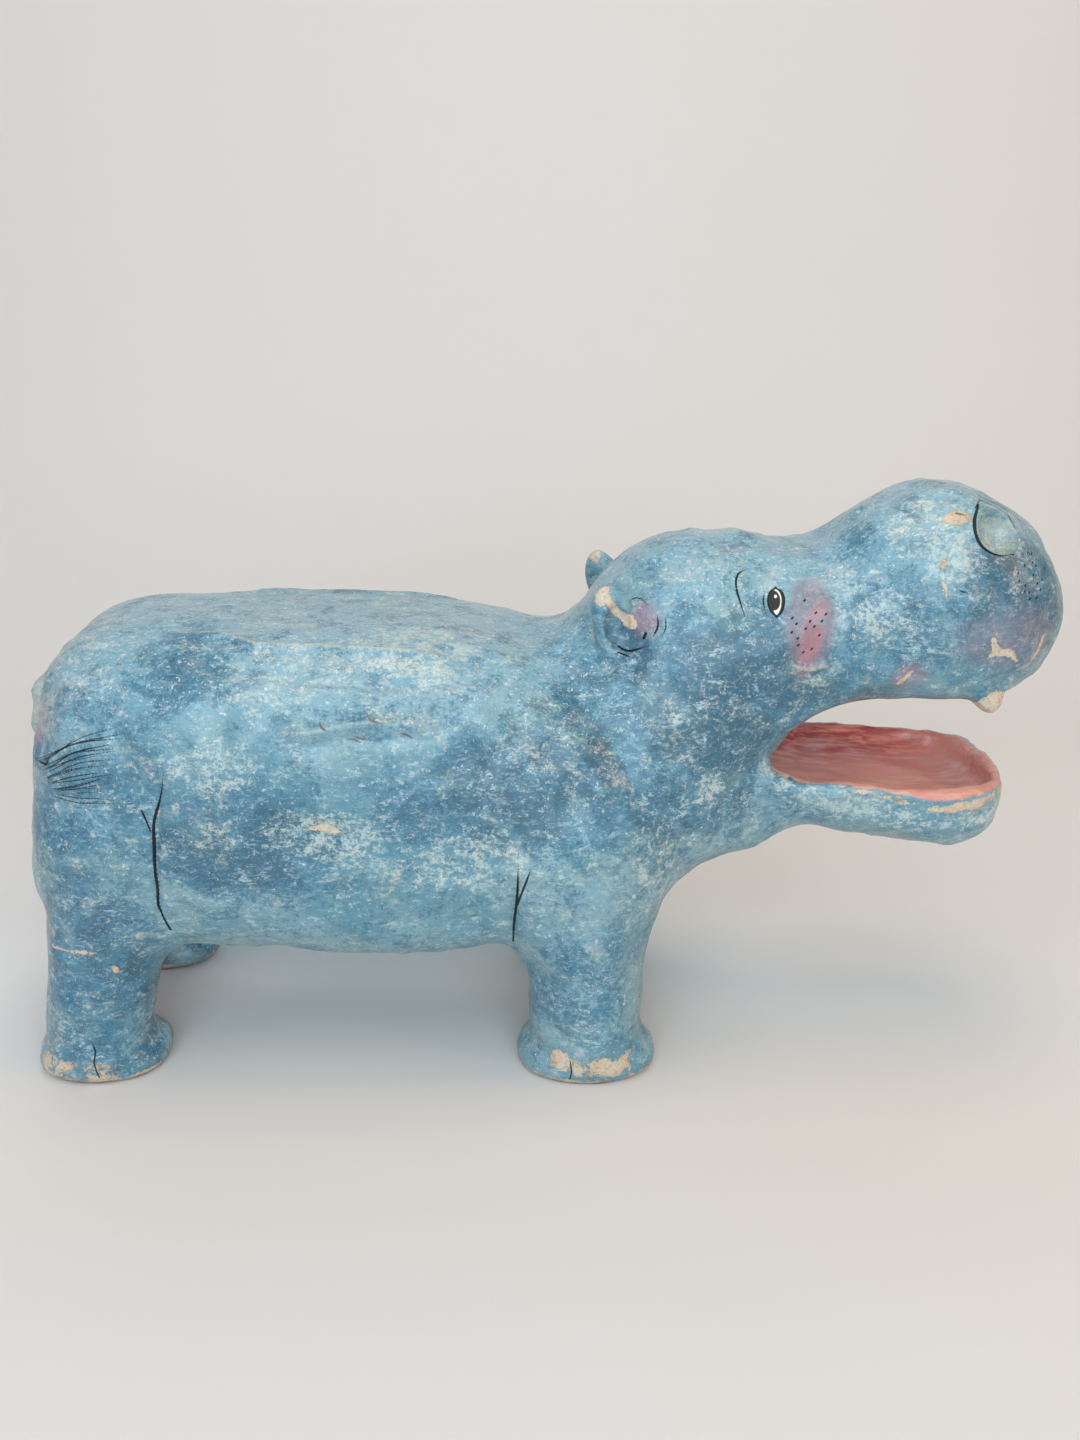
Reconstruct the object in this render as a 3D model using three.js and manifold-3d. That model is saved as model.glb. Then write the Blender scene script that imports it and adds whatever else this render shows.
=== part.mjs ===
// A papier-mache hippopotamus that stands on its four feet with its mouth wide open.
// The whole animal is moulded in one piece: trunk, head, open jaw, legs, ears, tooth knobs and tail.
// Units are millimetres. The nose points along +X, the back is up (+Z) and the soles stand on Z = 0.

import * as THREE from 'three';
import { mergeVertices } from 'three/addons/utils/BufferGeometryUtils.js';
import Module from 'manifold-3d';

const wasm = await Module();
wasm.setup();

// ---------------------------------------------------------------- driving dimensions
// A mass is a rounded block: its middle, its half sizes, how square its cross-section is (round = 2),
// how square it is end to end (ends, the same unless given), and how far its front is turned up.
// A middle that is off the centre line (Y above 0) stands for a pair, one on each side.
// "blend" is the width of the soft fillet where the mass runs into the rest.

const TRUNK = { at: [-115, 0, 157], half: [166, 98, 93], square: 3.4, ends: 3.2, turn: -2 };
const MASSES = [
  { at: [-207, 0, 158], half: [70, 91, 94], square: 3.2, blend: 8 },              // haunches
  { at: [17, 0, 141], half: [72, 88, 70], square: 2.4, blend: 24 },               // shoulders
  { at: [57, 0, 175], half: [67, 72, 73], square: 2.6, blend: 26 },               // neck
  { at: [94, 0, 228], half: [75, 66, 68], square: 2.1, blend: 20 },               // skull
  { at: [92, 0, 147], half: [61, 54, 37], square: 2.3, blend: 14 },               // throat
  { at: [167, 0, 247], half: [79, 58, 45], square: 2.7, turn: 11, blend: 18 },    // bridge of the snout
  { at: [222, 0, 258], half: [68, 61, 62], square: 2.1, turn: -40, blend: 18 },   // muzzle
];

const LEG_FILLET = 24;
const LEGS = [
  { top: [24, 55, 126], ankle: [27, 63, 20], thigh: 38, shin: 31 },               // fore legs
  { top: [-237, 55, 130], ankle: [-253, 63, 20], thigh: 34, shin: 29 },           // hind legs
];
const FOOT_FILLET = 8;
const FEET = [
  { at: [27, 62, 7], half: [40, 30, 13], square: 2.4 },                           // fore feet
  { at: [-251, 62, 7], half: [37, 30, 13], square: 2.4 },                         // hind feet
];

const GAPE = { at: [242, 0, 180], half: [110, 120, 31], square: 2.6, turn: 0 };
const GAPE_LIP = 6;

const JAW = { at: [177, 0, 165], half: [89, 55, 40], square: 2.3, ends: 3.8, turn: -13 };
const JAW_FILLET = 14;
const RIM = { at: [184, 166], turn: -3, lip: 6 };
const DISH = { at: [187, 0, 168], half: [77, 49, 18], square: 2.4, ends: 3.2, turn: -8 };

const TOOTH = { at: [244, 40, 215], half: [9, 8, 11], square: 2 };
const NOSTRIL = { at: [240, 39, 303], half: [13, 12, 11], square: 2 };

const EAR = { at: [41, 45, 252], half: [12, 8, 24], square: 2, turn: 18, spin: -25 };
const EAR_HOLLOW = { at: [44, 52, 251], half: [9, 7, 18], square: 2, turn: 18, spin: -25 };

const TAIL = { route: [[-262, -2, 228], [-276, -5, 216], [-285, -8, 190], [-281, -14, 160]], width: 11, depth: 12 };

const FLOOR = { length: 800, width: 400, depth: 60 };

// The mould is read along lines that stand closer where the form is finer.
const STATIONS_X = [-312, [-204, 12], [-12, 24], [78, 12], [318, 11]];
const STATIONS_Y = [-120, [120, 12]];
const STATIONS_Z = [-20, [36, 8], [104, 14], [346, 11.5]];

// ---------------------------------------------------------------- the form as a distance
const radians = (degrees) => (degrees * Math.PI) / 180;

/** Distance from a point to the surface of a mass, in millimetres, negative inside. */
function massDistance(mass, x, y, z) {
  const [middleX, middleY, middleZ] = mass.at;
  const turn = radians(mass.turn ?? 0);
  const ahead = x - middleX;
  const above = z - middleZ;
  const u = Math.abs(ahead * Math.cos(turn) + above * Math.sin(turn)) / mass.half[0];
  const v = Math.abs(Math.abs(y) - middleY) / mass.half[1];
  const w = Math.abs(above * Math.cos(turn) - ahead * Math.sin(turn)) / mass.half[2];
  const square = mass.square;
  const ends = mass.ends ?? square;
  const ring = v ** square + w ** square + 1e-9;
  const sum = u ** ends + ring ** (ends / square);
  const size = sum ** (1 / ends);
  const slope = sum ** (1 / ends - 1);
  const around = slope * ring ** (ends / square - 1);
  const slopeU = (slope * u ** (ends - 1)) / mass.half[0];
  const slopeV = (around * v ** (square - 1)) / mass.half[1];
  const slopeW = (around * w ** (square - 1)) / mass.half[2];
  return (size - 1) / Math.max(Math.hypot(slopeU, slopeV, slopeW), 1e-4);
}

/** Distance to a tapered round leg between two points, one on each side of the animal. */
function legDistance(leg, x, y, z) {
  const step = leg.ankle.map((value, axis) => value - leg.top[axis]);
  const offset = [x - leg.top[0], Math.abs(y) - leg.top[1], z - leg.top[2]];
  const run = step.reduce((sum, value) => sum + value * value, 0);
  const along = offset.reduce((sum, value, axis) => sum + value * step[axis], 0) / run;
  const share = Math.min(Math.max(along, 0), 1);
  const gap = offset.map((value, axis) => value - share * step[axis]);
  return Math.hypot(...gap) - THREE.MathUtils.lerp(leg.thigh, leg.shin, share);
}

/** Union of two forms with a fillet of the given width. */
function join(a, b, blend) {
  const overlap = Math.max(blend - Math.abs(a - b), 0) / blend;
  return Math.min(a, b) - (overlap * overlap * blend) / 4;
}

/** The first form with the second taken away, the edge eased by the given width. */
const carve = (a, b, blend) => -join(-a, b, blend);

/** The lower jaw: a rounded tray cut off level with its rim. */
function jawDistance(x, y, z) {
  const turn = radians(RIM.turn);
  const aboveRim = (z - RIM.at[1]) * Math.cos(turn) - (x - RIM.at[0]) * Math.sin(turn);
  return carve(massDistance(JAW, x, y, z), -aboveRim, RIM.lip);
}

/** The whole moulded body, before its fine parts are added and its soles are cut flat. */
function bodyDistance(x, y, z) {
  let form = massDistance(TRUNK, x, y, z);
  for (const mass of MASSES) form = join(form, massDistance(mass, x, y, z), mass.blend);
  for (const leg of LEGS) form = join(form, legDistance(leg, x, y, z), LEG_FILLET);
  for (const foot of FEET) form = join(form, massDistance(foot, x, y, z), FOOT_FILLET);
  form = carve(form, massDistance(GAPE, x, y, z), GAPE_LIP);
  return join(form, jawDistance(x, y, z), JAW_FILLET);
}

// ---------------------------------------------------------------- from distance to skin
/** Reading lines: a start, then stretches, each given by its end and the step wanted in it. */
function stations([start, ...stretches]) {
  const lines = [start];
  for (const [end, step] of stretches) {
    const from = lines.at(-1);
    const count = Math.round((end - from) / step);
    for (let i = 1; i <= count; i += 1) lines.push(from + ((end - from) * i) / count);
  }
  return lines;
}

/** Moves a point onto the surface along the steepest way. */
function settle(distance, point) {
  const nudge = 0.5;
  const passes = 3;
  for (let pass = 0; pass < passes; pass += 1) {
    const [x, y, z] = point;
    const here = distance(x, y, z);
    const slope = [
      (distance(x + nudge, y, z) - distance(x - nudge, y, z)) / (2 * nudge),
      (distance(x, y + nudge, z) - distance(x, y - nudge, z)) / (2 * nudge),
      (distance(x, y, z + nudge) - distance(x, y, z - nudge)) / (2 * nudge),
    ];
    const steepness = slope.reduce((sum, value) => sum + value * value, 1e-6);
    for (let axis = 0; axis < 3; axis += 1) point[axis] -= (here * slope[axis]) / steepness;
  }
  return point;
}

/** A closed faceted skin around a distance: one point in each cell that the surface crosses. */
function skin(distance, xs, ys, zs) {
  const rows = ys.length;
  const layers = zs.length;
  const at = (i, j, k) => (i * rows + j) * layers + k;
  const values = new Float64Array(xs.length * rows * layers);
  xs.forEach((x, i) => ys.forEach((y, j) => zs.forEach((z, k) => {
    values[at(i, j, k)] = distance(x, y, z);
  })));

  const corners = [0, 1, 2, 3, 4, 5, 6, 7].map((n) => [n & 1, (n >> 1) & 1, (n >> 2) & 1]);
  const edges = [];
  for (let a = 0; a < 8; a += 1) {
    for (const bit of [1, 2, 4]) if (!(a & bit)) edges.push([a, a | bit]);
  }
  const positions = [];
  const cellPoint = new Map();
  const place = (i, j, k, [di, dj, dk]) => [xs[i + di], ys[j + dj], zs[k + dk]];
  for (let i = 0; i < xs.length - 1; i += 1) {
    for (let j = 0; j < rows - 1; j += 1) {
      for (let k = 0; k < layers - 1; k += 1) {
        const inside = corners.map(([di, dj, dk]) => values[at(i + di, j + dj, k + dk)]);
        const crossed = edges.filter(([a, b]) => (inside[a] < 0) !== (inside[b] < 0));
        if (crossed.length === 0) continue;
        const sum = [0, 0, 0];
        for (const [a, b] of crossed) {
          const share = inside[a] / (inside[a] - inside[b]);
          const from = place(i, j, k, corners[a]);
          const to = place(i, j, k, corners[b]);
          for (let axis = 0; axis < 3; axis += 1) sum[axis] += from[axis] + share * (to[axis] - from[axis]);
        }
        cellPoint.set(at(i, j, k), positions.length / 3);
        positions.push(...settle(distance, sum.map((value) => value / crossed.length)));
      }
    }
  }

  const faces = [];
  const corner = (n) => new THREE.Vector3().fromArray(positions, 3 * n);
  const addQuad = (a, b, c, d) => {
    if (corner(a).distanceTo(corner(c)) <= corner(b).distanceTo(corner(d))) faces.push(a, b, c, a, c, d);
    else faces.push(a, b, d, b, c, d);
  };
  const sides = [[[0, 1, 0], [0, 0, 1]], [[0, 0, 1], [1, 0, 0]], [[1, 0, 0], [0, 1, 0]]];
  for (let i = 1; i < xs.length - 1; i += 1) {
    for (let j = 1; j < rows - 1; j += 1) {
      for (let k = 1; k < layers - 1; k += 1) {
        for (let axis = 0; axis < 3; axis += 1) {
          const next = [0, 1, 2].map((n) => (n === axis ? 1 : 0));
          const here = values[at(i, j, k)] < 0;
          if (here === values[at(i + next[0], j + next[1], k + next[2])] < 0) continue;
          const [p, q] = sides[axis];
          const ring = [[1, 1], [0, 1], [0, 0], [1, 0]].map(([s, t]) => cellPoint.get(
            at(i - s * p[0] - t * q[0], j - s * p[1] - t * q[1], k - s * p[2] - t * q[2]),
          ));
          addQuad(...(here ? ring : ring.reverse()));
        }
      }
    }
  }
  const geometry = new THREE.BufferGeometry();
  geometry.setAttribute('position', new THREE.Float32BufferAttribute(positions, 3));
  geometry.setIndex(faces);
  return geometry;
}

// ---------------------------------------------------------------- solids
/** The closed solid of a geometry. */
function solid(geometry) {
  const bare = geometry.clone();
  bare.deleteAttribute('normal');
  bare.deleteAttribute('uv');
  const merged = mergeVertices(bare, 1e-4);
  return new wasm.Manifold(new wasm.Mesh({
    numProp: 3,
    vertProperties: new Float32Array(merged.attributes.position.array),
    triVerts: new Uint32Array(merged.index.array),
  }));
}

/** A mass as a solid of its own, on the side of the animal that the sign names. */
function massSolid(mass, sign, around, along) {
  const geometry = new THREE.SphereGeometry(1, around, along);
  const points = geometry.attributes.position;
  const ends = mass.ends ?? mass.square;
  for (let n = 0; n < points.count; n += 1) {
    const [u, v, w] = [points.getX(n), points.getY(n), points.getZ(n)];
    const ring = Math.abs(v) ** mass.square + Math.abs(w) ** mass.square;
    const size = (Math.abs(u) ** ends + ring ** (ends / mass.square)) ** (1 / ends);
    points.setXYZ(n, (u / size) * mass.half[0], (v / size) * mass.half[1], (w / size) * mass.half[2]);
  }
  geometry.rotateZ(radians(mass.spin ?? 0) * sign);
  geometry.rotateY(-radians(mass.turn ?? 0));
  geometry.translate(mass.at[0], mass.at[1] * sign, mass.at[2]);
  return solid(geometry);
}

/** A cupped ear: a leaf standing on the skull with its hollow turned forward and out. */
function earSolid(sign) {
  return massSolid(EAR, sign, 16, 10).subtract(massSolid(EAR_HOLLOW, sign, 12, 8));
}

/** The tail: a low strip that runs down the rump and swings to the right side. */
function tailSolid() {
  const section = new THREE.Shape();
  section.absellipse(0, 0, TAIL.depth / 2, TAIL.width / 2, 0, 2 * Math.PI);
  const route = new THREE.CatmullRomCurve3(TAIL.route.map((point) => new THREE.Vector3(...point)));
  return solid(new THREE.ExtrudeGeometry(section, { steps: 8, curveSegments: 5, extrudePath: route }));
}

/** A block of everything below the floor, to cut the soles flat. */
function floorSolid() {
  const block = new THREE.BoxGeometry(FLOOR.length, FLOOR.width, FLOOR.depth);
  block.translate(0, 0, -FLOOR.depth / 2);
  return solid(block);
}

let hippopotamus = solid(skin(
  bodyDistance,
  stations(STATIONS_X),
  stations(STATIONS_Y),
  stations(STATIONS_Z),
));
hippopotamus = hippopotamus.subtract(massSolid(DISH, 1, 20, 12));
for (const sign of [-1, 1]) {
  hippopotamus = hippopotamus.add(earSolid(sign));
  hippopotamus = hippopotamus.add(massSolid(TOOTH, sign, 10, 7));
  hippopotamus = hippopotamus.subtract(massSolid(NOSTRIL, sign, 14, 8));
}
hippopotamus = hippopotamus.add(tailSolid()).subtract(floorSolid());

/** A three.js geometry from a solid, centred over the origin with its soles on Z = 0. */
function geometryOf(body) {
  const mesh = body.getMesh();
  const geometry = new THREE.BufferGeometry();
  geometry.setAttribute('position', new THREE.BufferAttribute(mesh.vertProperties, mesh.numProp));
  geometry.setIndex(new THREE.BufferAttribute(mesh.triVerts, 1));
  geometry.computeBoundingBox();
  const middle = geometry.boundingBox.getCenter(new THREE.Vector3());
  geometry.translate(-middle.x, -middle.y, 0);
  geometry.computeVertexNormals();
  return geometry;
}

const paintedPaper = new THREE.MeshStandardMaterial({ color: 0x6fa3bf, roughness: 0.45, metalness: 0 });
const animal = new THREE.Mesh(geometryOf(hippopotamus), paintedPaper);
animal.name = 'hippopotamus';

const group = new THREE.Group();
group.add(animal);
export default group;
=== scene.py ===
"""Looks of a painted papier-mache hippopotamus: skin, paint, stage, lights and camera.

The skin is one closed mesh over the same masses as the CAD solid. Its shape carries the hand-made relief.
Its vertices hold the amounts of paint, which one procedural finish turns into colour.
Sizes are in millimetres until the mesh is written, and the left and right sides mirror about Y = 0.
"""

import logging
import math
from collections.abc import Callable
from dataclasses import dataclass, field
from enum import Enum
from functools import partial

import bpy
import numpy as np
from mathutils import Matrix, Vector, noise

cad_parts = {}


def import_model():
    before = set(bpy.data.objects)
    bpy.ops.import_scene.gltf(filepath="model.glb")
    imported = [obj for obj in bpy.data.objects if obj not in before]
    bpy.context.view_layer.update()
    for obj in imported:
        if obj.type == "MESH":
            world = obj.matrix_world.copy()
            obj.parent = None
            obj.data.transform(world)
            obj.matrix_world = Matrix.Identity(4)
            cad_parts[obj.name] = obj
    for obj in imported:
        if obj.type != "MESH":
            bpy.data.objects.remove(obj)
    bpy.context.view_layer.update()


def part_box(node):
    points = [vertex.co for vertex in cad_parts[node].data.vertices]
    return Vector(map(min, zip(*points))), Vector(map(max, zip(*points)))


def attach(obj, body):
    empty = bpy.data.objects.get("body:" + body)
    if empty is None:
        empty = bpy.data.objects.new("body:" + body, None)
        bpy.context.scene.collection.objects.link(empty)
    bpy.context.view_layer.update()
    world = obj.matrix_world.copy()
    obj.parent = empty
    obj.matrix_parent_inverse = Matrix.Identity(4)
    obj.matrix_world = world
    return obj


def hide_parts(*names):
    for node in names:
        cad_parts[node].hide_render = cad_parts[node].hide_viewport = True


log = logging.getLogger("hippopotamus")

Array = np.ndarray
Flat = tuple[float, float]
Point = tuple[float, float, float]
Route = tuple[Flat, ...]

MM = 0.001
SHIFT_X = 1.18  # from the modelling origin to the middle of the CAD box


# ---------------- form


def merge(a: Array, b: Array, reach: float) -> Array:
    """Joins two distance fields with a soft fillet, which spreads over the reach in mm."""
    near = np.maximum(reach - np.abs(a - b), 0.0) / reach
    return np.minimum(a, b) - near * near * reach * 0.25


def cut(a: Array, b: Array, reach: float) -> Array:
    """Takes form b out of form a, with a soft edge that spreads over the reach in mm."""
    return -merge(-a, b, reach)


@dataclass(frozen=True)
class Mass:
    """A rounded lump of the body, mirrored to the other side when it stands off the middle plane.

    Attributes:
        at: centre.
        half: half sizes.
        square: how square the cross-section is (2 is an ellipse).
        ends: how square the lengthwise profile is; the same as square when left out.
        turn: degrees nose-up.
        spin: degrees about the upright.
        reach: fillet to what it joins.
    """

    at: Point
    half: Point
    square: float = 2.0
    ends: float | None = None
    turn: float = 0.0
    spin: float = 0.0
    reach: float = 8.0

    def distance(self, p: Array) -> Array:
        """Distances from points to the lump.

        Args:
            p: points as rows of X, Y and Z.

        Returns:
            Signed distances, negative inside.
        """
        x = p[0] - self.at[0]
        y = np.abs(p[1]) - self.at[1]
        z = p[2] - self.at[2]
        if self.turn:
            c, s = math.cos(math.radians(self.turn)), math.sin(math.radians(self.turn))
            x, z = x * c + z * s, z * c - x * s
        if self.spin:
            c, s = math.cos(math.radians(self.spin)), math.sin(math.radians(self.spin))
            x, y = x * c + y * s, y * c - x * s
        n, m = self.square, self.ends or self.square
        ux, uy, uz = np.abs(x) / self.half[0], np.abs(y) / self.half[1], np.abs(z) / self.half[2]
        across = uy**n + uz**n + 1e-9
        total = ux**m + across ** (m / n) + 1e-9
        lift = total ** (1.0 / m - 1.0)
        side = lift * across ** (m / n - 1.0)
        gx = lift * ux ** (m - 1.0) / self.half[0]
        gy = side * uy ** (n - 1.0) / self.half[1]
        gz = side * uz ** (n - 1.0) / self.half[2]
        return (total ** (1.0 / m) - 1.0) / np.maximum(np.sqrt(gx * gx + gy * gy + gz * gz), 1e-4)


@dataclass(frozen=True)
class Limb:
    """A tapering round bar between two points.

    Attributes:
        start: first end.
        stop: second end.
        start_radius: radius at the first end.
        stop_radius: radius at the second end.
        paired: whether the other side has one too.
        reach: fillet to what it joins.
    """

    start: Point
    stop: Point
    start_radius: float
    stop_radius: float
    paired: bool = True
    reach: float = 24.0

    def distance(self, p: Array) -> Array:
        """Distances from points to the bar.

        Args:
            p: points as rows of X, Y and Z.

        Returns:
            Signed distances, negative inside.
        """
        q = np.stack([p[0], np.abs(p[1]) if self.paired else p[1], p[2]])
        a = np.array(self.start)[:, None]
        d = np.array(self.stop)[:, None] - a
        t = np.clip(((q - a) * d).sum(0) / (d * d).sum(), 0.0, 1.0)
        reach = self.start_radius + (self.stop_radius - self.start_radius) * t
        return np.sqrt(((q - a - d * t) ** 2).sum(0)) - reach


@dataclass(frozen=True)
class Hippopotamus:
    """The whole form as one distance field, about the modelling origin.

    Attributes:
        trunk: the body between shoulders and rump.
        masses: haunches, shoulders, neck, skull, throat, snout bridge and muzzle.
        legs: the fore and the hind pair.
        feet: the spreading feet under them.
        gape: what is cut out between snout and lower jaw.
        jaw: the lower jaw, before its top is cut flat.
        rim_at: a point of the flat rim of the jaw, as X and Z.
        rim_turn: degrees that the rim rises nose-up.
        dish: the hollow of the lower jaw.
        tooth: the knob on each side of the muzzle.
        ear: the ear.
        ear_hollow: what is pressed into it.
        nostril: what is pressed into the muzzle on each side.
        tail: the low strip of the tail, from its root down.
        low: least X, Y and Z of the space that holds the form.
        high: greatest X, Y and Z of it.
    """

    trunk: Mass = Mass((-115, 0, 157), (166, 98, 93), 3.4, ends=3.2, turn=-2)
    masses: tuple[Mass, ...] = (
        Mass((-207, 0, 158), (70, 91, 94), 3.2, reach=8),
        Mass((17, 0, 141), (72, 88, 70), 2.4, reach=24),
        Mass((57, 0, 175), (67, 72, 73), 2.6, reach=26),
        Mass((94, 0, 228), (75, 66, 68), 2.1, reach=20),
        Mass((92, 0, 147), (61, 54, 37), 2.3, reach=14),
        Mass((167, 0, 247), (79, 58, 45), 2.7, turn=11, reach=18),
        Mass((222, 0, 258), (68, 61, 62), 2.1, turn=-40, reach=18),
    )
    legs: tuple[Limb, ...] = (
        Limb((24, 55, 126), (27, 63, 20), 38, 31),
        Limb((-237, 55, 130), (-253, 63, 20), 34, 29),
    )
    feet: tuple[Mass, ...] = (Mass((27, 62, 7), (40, 30, 13), 2.4), Mass((-251, 62, 7), (37, 30, 13), 2.4))
    gape: Mass = Mass((242, 0, 180), (110, 120, 31), 2.6, reach=6)
    jaw: Mass = Mass((177, 0, 165), (89, 55, 40), 2.3, ends=3.8, turn=-13, reach=14)
    rim_at: Flat = (184.0, 166.0)
    rim_turn: float = -3.0
    dish: Mass = Mass((185, 0, 168), (74, 48, 18), 2.4, ends=3.2, turn=-8, reach=4)
    tooth: Mass = Mass((244, 40, 215), (9, 8, 11), reach=4)
    ear: Mass = Mass((41, 45, 252), (12, 8, 24), turn=18, spin=-25, reach=4)
    ear_hollow: Mass = Mass((44, 52, 251), (9, 7, 18), turn=18, spin=-25, reach=2)
    nostril: Mass = Mass((240, 39, 303), (13, 12, 11), reach=3)
    tail: tuple[Limb, ...] = (
        Limb((-266, -3, 226), (-281, -6, 205), 5, 6, False, 6),
        Limb((-281, -6, 205), (-284, -9, 185), 6, 6, False, 6),
        Limb((-284, -9, 185), (-281, -14, 160), 6, 5, False, 6),
    )
    low: Point = (-300.0, -112.0, -10.0)
    high: Point = (304.0, 112.0, 338.0)

    def closed(self, p: Array) -> Array:
        """Distances from points to the form before its nostrils are pressed in.

        Args:
            p: points as rows of X, Y and Z.

        Returns:
            Signed distances, negative inside.
        """
        f = self.trunk.distance(p)
        for mass in self.masses + self.legs + self.feet:
            f = merge(f, mass.distance(p), mass.reach)
        f = cut(f, self.gape.distance(p), self.gape.reach)
        lean = math.radians(self.rim_turn)
        above = (p[2] - self.rim_at[1]) * math.cos(lean) - (p[0] - self.rim_at[0]) * math.sin(lean)
        f = merge(f, cut(self.jaw.distance(p), -above, 6.0), self.jaw.reach)
        f = cut(f, self.dish.distance(p), self.dish.reach)
        f = merge(f, self.tooth.distance(p), self.tooth.reach)
        hollowed = cut(self.ear.distance(p), self.ear_hollow.distance(p), self.ear_hollow.reach)
        f = merge(f, hollowed, self.ear.reach)
        for bar in self.tail:
            f = merge(f, bar.distance(p), bar.reach)
        return np.maximum(f, -p[2])

    def distance(self, p: Array) -> Array:
        """Signed distances from points, as rows of X, Y and Z, to the finished form."""
        return cut(self.closed(p), self.nostril.distance(p), self.nostril.reach)

    def slope(self, p: Array, reach: float = 0.8) -> Array:
        """Outward directions of the surface at points.

        Args:
            p: points as rows of X, Y and Z.
            reach: how far apart the field is read, in mm.

        Returns:
            Unit directions as rows of X, Y and Z.
        """
        g = np.empty_like(p)
        for k in range(3):
            step = np.zeros((3, 1))
            step[k] = reach
            g[k] = self.distance(p + step) - self.distance(p - step)
        return g / (np.linalg.norm(g, axis=0) + 1e-9)

    def settle(self, p: Array, rounds: int = 2) -> Array:
        """Moves points, as rows of X, Y and Z, onto the surface by a few corrections."""
        for _ in range(rounds):
            p = p - self.slope(p) * np.clip(self.distance(p), -2.0, 2.0)
        return p


class Side(Enum):
    """Which way a painted route is laid onto the form: the way the brush points."""

    NEAR = (0.0, 1.0, 0.0)
    FAR = (0.0, -1.0, 0.0)


def lay_out(form: Hippopotamus, routes: list[tuple[Array, Side]]) -> list[Array]:
    """Lays flat routes of X and Z onto the form, each from its own side.

    Args:
        form: the form they are laid on.
        routes: each route's rows of X and Z, and its side.

    Returns:
        For each route its points on the surface, one a row.
    """
    flat = np.vstack([route for route, _ in routes])
    way = np.concatenate([np.full(len(route), side.value[1]) for route, side in routes])
    p = np.stack([flat[:, 0], -125.0 * way, flat[:, 1]])
    for _ in range(70):
        f = form.distance(p)
        p[1] += way * np.where((f > 0.05) & (np.abs(p[1]) < 126.0), np.clip(f * 0.8, 0.05, 12.0), 0.0)
    ends = np.cumsum([len(route) for route, _ in routes])[:-1]
    return np.split(p.T, ends)


def flowing(points: list[Flat], spacing: float = 0.7) -> Array:
    """A smooth route through a few given points.

    Args:
        points: the set points, as X and Z.
        spacing: distance between the points of the result, in mm.

    Returns:
        Rows of X and Z.
    """
    q = np.array(points, float)
    if len(q) < 3:
        n = max(2, int(np.linalg.norm(q[-1] - q[0]) / spacing))
        return q[0] + (q[-1] - q[0]) * np.linspace(0, 1, n)[:, None]
    q = np.vstack([2 * q[0] - q[1], q, 2 * q[-1] - q[-2]])
    out = []
    for a, b, c, d in zip(q, q[1:], q[2:], q[3:]):
        n = max(2, int(np.linalg.norm(c - b) / spacing))
        t = np.linspace(0, 1, n, endpoint=False)[:, None]
        square, cube = 2 * a - 5 * b + 4 * c - d, 3 * b - a - 3 * c + d
        out.append(0.5 * (2 * b + (c - a) * t + square * t**2 + cube * t**3))
    out.append(q[-2][None])
    return np.vstack(out)


# ---------------- paint


class Paint(Enum):
    """What a stroke or a patch lays down. Each is an amount held at the vertices."""

    INK = "ink"
    BARE = "bare"
    WHITE = "white"
    DEEP = "deep"
    PALE = "pale"
    ROSE = "rose"
    MAUVE = "mauve"
    BRICK = "brick"
    CREAM = "cream"
    FROST = "frost"
    FLESH = "flesh"
    GRIME = "grime"
    RUST = "rust"

    @property
    def edge(self) -> float:
        """Width of the edge of a stroke in mm: chips break along a ragged one."""
        return 5.0 if self is Paint.BARE else 1.2


@dataclass(frozen=True)
class Stroke:
    """A brush or pen stroke along a route on one side.

    Attributes:
        route: set points, as X and Z.
        width: width at the middle.
        paint: what it lays down.
        side: the side it is laid from.
        taper: width at the start and at the end, as shares of the width.
    """

    route: Route
    width: float = 1.1
    paint: Paint = Paint.INK
    side: Side = Side.NEAR
    taper: Flat = (0.35, 0.35)


@dataclass(frozen=True)
class Patch:
    """A soft-edged patch of paint, an ellipsoid's overlap with the skin.

    Attributes:
        at: centre, with its side in the sign of Y.
        half: half sizes.
        paint: what it lays down.
        amount: strength at the middle.
        soft: share of the size over which it fades.
        turn: degrees nose-up.
    """

    at: Point
    half: Point
    paint: Paint
    amount: float = 1.0
    soft: float = 0.8
    turn: float = 0.0

    def amount_at(self, p: Array) -> Array:
        """How strongly the patch covers points.

        Args:
            p: points as rows of X, Y and Z.

        Returns:
            Amounts from 0 to the patch's strength.
        """
        x, y, z = (p[k] - self.at[k] for k in range(3))
        if self.turn:
            c, s = math.cos(math.radians(self.turn)), math.sin(math.radians(self.turn))
            x, z = x * c + z * s, z * c - x * s
        r = np.sqrt((x / self.half[0]) ** 2 + (y / self.half[1]) ** 2 + (z / self.half[2]) ** 2)
        return self.amount * ease((1.0 + self.soft / 2 - r) / self.soft)


def ease(t: Array) -> Array:
    """A smooth step from 0 to 1, over values from 0 to 1."""
    t = np.clip(t, 0.0, 1.0)
    return t * t * (3.0 - 2.0 * t)


def ring(at: Flat, half: Flat, start: float, stop: float) -> Route:
    """Set points along part of an ellipse.

    Args:
        at: centre, as X and Z.
        half: half sizes.
        start: first angle in degrees, from +X towards +Z.
        stop: last angle in degrees.

    Returns:
        Points as X and Z.
    """
    count = max(4, int(abs(stop - start) / 25) + 1)
    points = []
    for i in range(count):
        a = math.radians(start + (stop - start) * i / (count - 1))
        points.append((at[0] + half[0] * math.cos(a), at[1] + half[1] * math.sin(a)))
    return tuple(points)


# the ridge along the upper flank, which stands out, is worn pale and carries a painted highlight
RIDGE: Route = ((-195, 251), (-161, 248), (-146, 246), (-114, 245), (-92, 244), (-73, 243), (-37, 240))


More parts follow.
